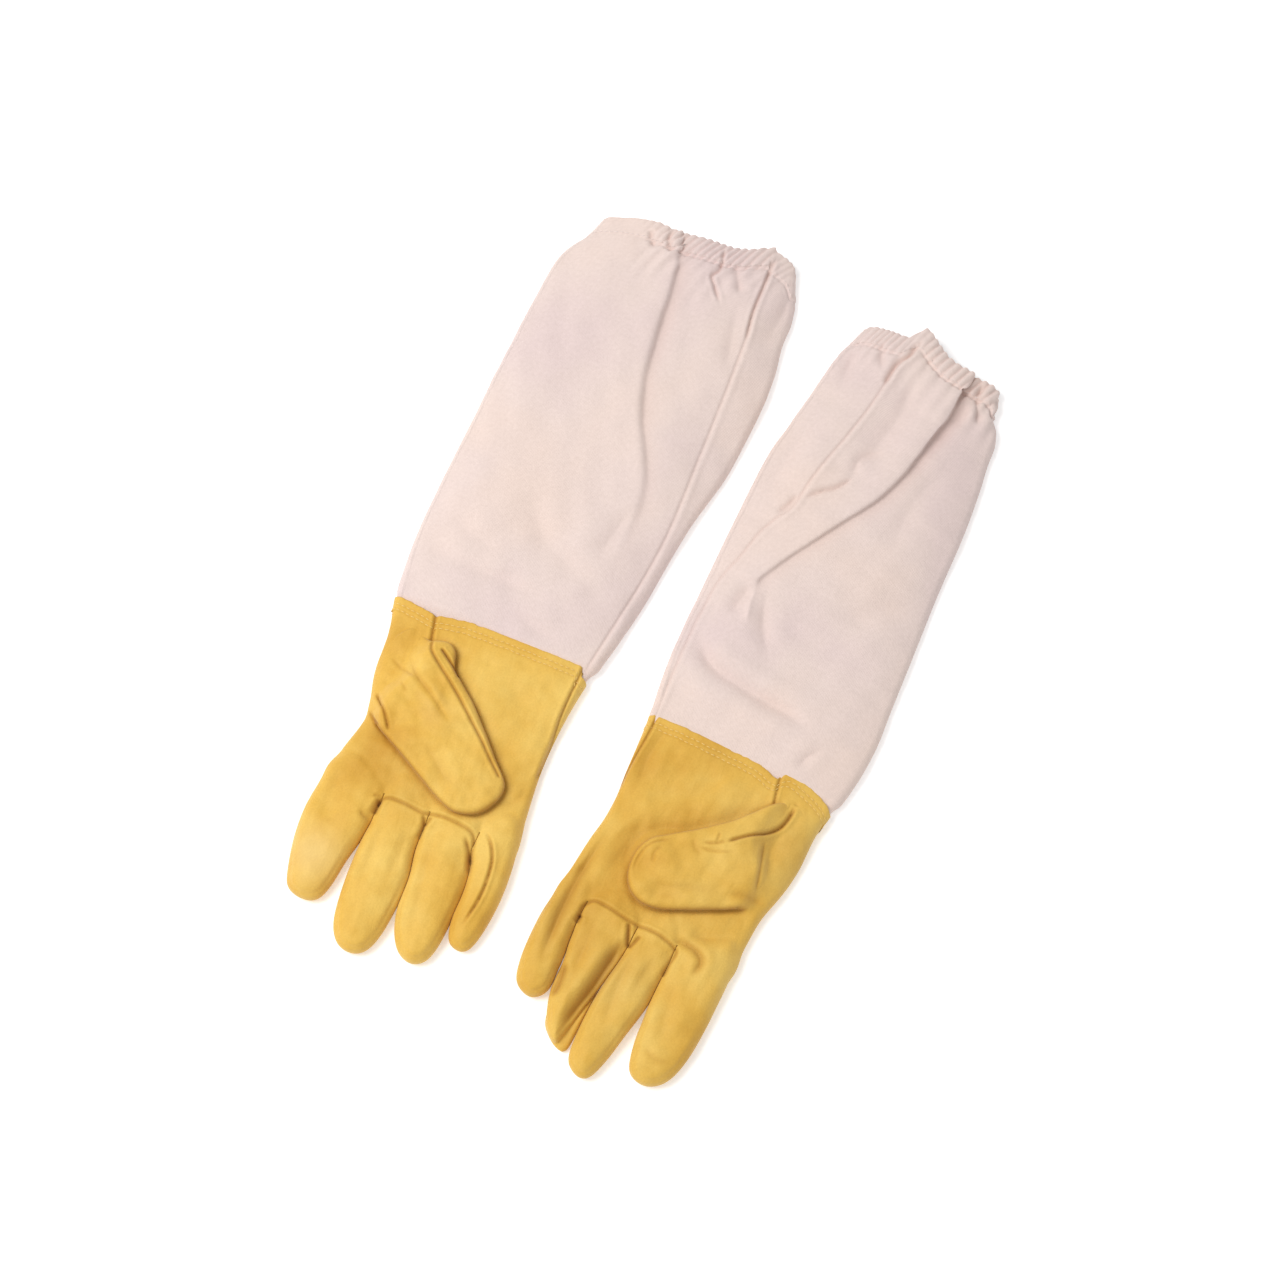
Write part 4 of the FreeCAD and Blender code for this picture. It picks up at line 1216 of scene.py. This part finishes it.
def canvas_material():
    """Unbleached cotton canvas: a plain weave, soft slubs, faint pink and cool patches, and painted shade
    in its creases and folds.
    """
    paint = Paint("canvas")
    where = paint.add("ShaderNodeTexCoord").outputs["Object"]
    cloth = paint.add("ShaderNodeAttribute", attribute_name="cloth").outputs["Vector"]
    shade = paint.add("ShaderNodeAttribute", attribute_name="shade").outputs["Fac"]
    patches = paint.texture("ShaderNodeTexNoise", where, Scale=9.0, Detail=3.0, Roughness=0.5)
    slub = paint.texture("ShaderNodeTexNoise", cloth, Scale=420.0, Detail=4.0, Roughness=0.7)
    base = paint.ramp(patches.outputs["Fac"], (0.34, colour(224, 203, 199)), (0.50, colour(229, 209, 201)),
                      (0.66, colour(232, 210, 199)))
    speckle = paint.ramp(slub.outputs["Fac"], (0.3, (0.93, 0.925, 0.92, 1)), (0.7, (1.02, 1.02, 1.02, 1)))
    # Painted shade: the shade attribute browns the canvas in its creases, its seam groove, the hollow
    # beside the fold and between the gathers.
    base = paint.tinted(paint.speckled(base, speckle), shade, 3.0, 0.6, colour(200, 166, 152))
    paint.link(base, paint.shader.inputs["Base Color"])

    bands = [paint.texture("ShaderNodeTexWave", cloth, wave_type="BANDS", bands_direction=direction,
                           Scale=350.0, Distortion=1.2, Detail=1.0) for direction in ("X", "Y")]
    weave = paint.add("ShaderNodeMath", operation="MULTIPLY")
    for band, socket in zip(bands, weave.inputs):
        paint.link(band.outputs["Fac"], socket)
    thread = paint.bump(weave.outputs["Value"], 0.5, 0.00025)
    soft = paint.bump(slub.outputs["Fac"], 0.3, 0.0008, thread)
    paint.link(soft, paint.shader.inputs["Normal"])
    paint.surface({"Roughness": 0.92, "Specular IOR Level": 0.2, "Sheen Weight": 0.25,
                   "Sheen Roughness": 0.6})
    return paint.material


def thread_material(name, tint):
    """Sewing thread, with its twist as fine slanting bands."""
    paint = Paint(name)
    where = paint.add("ShaderNodeTexCoord").outputs["Object"]
    twist = paint.texture("ShaderNodeTexWave", where, wave_type="BANDS", bands_direction="DIAGONAL",
                          Scale=1800.0)
    darker = tuple(c * 0.82 for c in tint[:3]) + (1.0,)
    bands = paint.ramp(twist.outputs["Fac"], (0.2, darker), (0.8, tint))
    paint.link(bands, paint.shader.inputs["Base Color"])
    paint.surface({"Roughness": 0.7, "Sheen Weight": 0.3})
    return paint.material


# ---------------------------------------------------------------- the stage


def floor_and_lights():
    """A plain pale floor under a large soft light from above and the left."""
    bpy.ops.mesh.primitive_plane_add(size=8, location=(0, 0, -0.0002))
    floor = bpy.context.object
    floor.name = "floor"
    paint = Paint("floor")
    paint.surface({"Base Color": (0.95, 0.95, 0.95, 1), "Roughness": 0.9,
                   "Emission Color": (1, 1, 1, 1), "Emission Strength": FLOOR_GLOW})
    floor.data.materials.append(paint.material)
    world = bpy.data.worlds.new("studio")
    bpy.context.scene.world = world
    world.use_nodes = True
    world.node_tree.nodes["Background"].inputs["Color"].default_value = (1, 1, 1, 1)
    world.node_tree.nodes["Background"].inputs["Strength"].default_value = WORLD_STRENGTH
    lamp = bpy.data.lights.new("key", "AREA")
    lamp.size = KEY_SIZE
    lamp.energy = KEY_POWER
    light = bpy.data.objects.new("key", lamp)
    light.location = KEY_PLACE
    light.rotation_euler = (-Vector(KEY_PLACE)).to_track_quat("-Z", "Y").to_euler()
    bpy.context.scene.collection.objects.link(light)
    bpy.context.scene.view_settings.view_transform = "Standard"


def camera():
    """The camera, at the photographed view."""
    azimuth, elevation = math.radians(CAMERA_AZIMUTH), math.radians(CAMERA_ELEVATION)
    back = Vector((math.sin(azimuth) * math.cos(elevation), -math.cos(azimuth) * math.cos(elevation),
                   math.sin(elevation)))
    eye = bpy.data.objects.new("camera", bpy.data.cameras.new("camera"))
    eye.data.lens = CAMERA_LENS
    eye.data.sensor_width = 36
    eye.location = Vector(CAMERA_TARGET) + back * CAMERA_DISTANCE
    eye.rotation_euler = back.to_track_quat("Z", "Y").to_euler()
    bpy.context.scene.collection.objects.link(eye)
    bpy.context.scene.camera = eye


def main():
    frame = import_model()
    leather = leather_material()
    canvas = canvas_material()
    yellow = thread_material("yellow_thread", colour(240, 200, 110))
    white = thread_material("white_thread", colour(232, 214, 207))
    elastic = thread_material("elastic", colour(235, 232, 228))
    for glove in (RIGHT, LEFT):
        place = Place(frame, glove["side"])
        points, faces = build_hand(glove, place, leather)
        cuff_stitches(glove, place, points, faces, yellow)
        build_sleeve(glove, place, canvas, white, elastic)
    floor_and_lights()
    camera()


main()
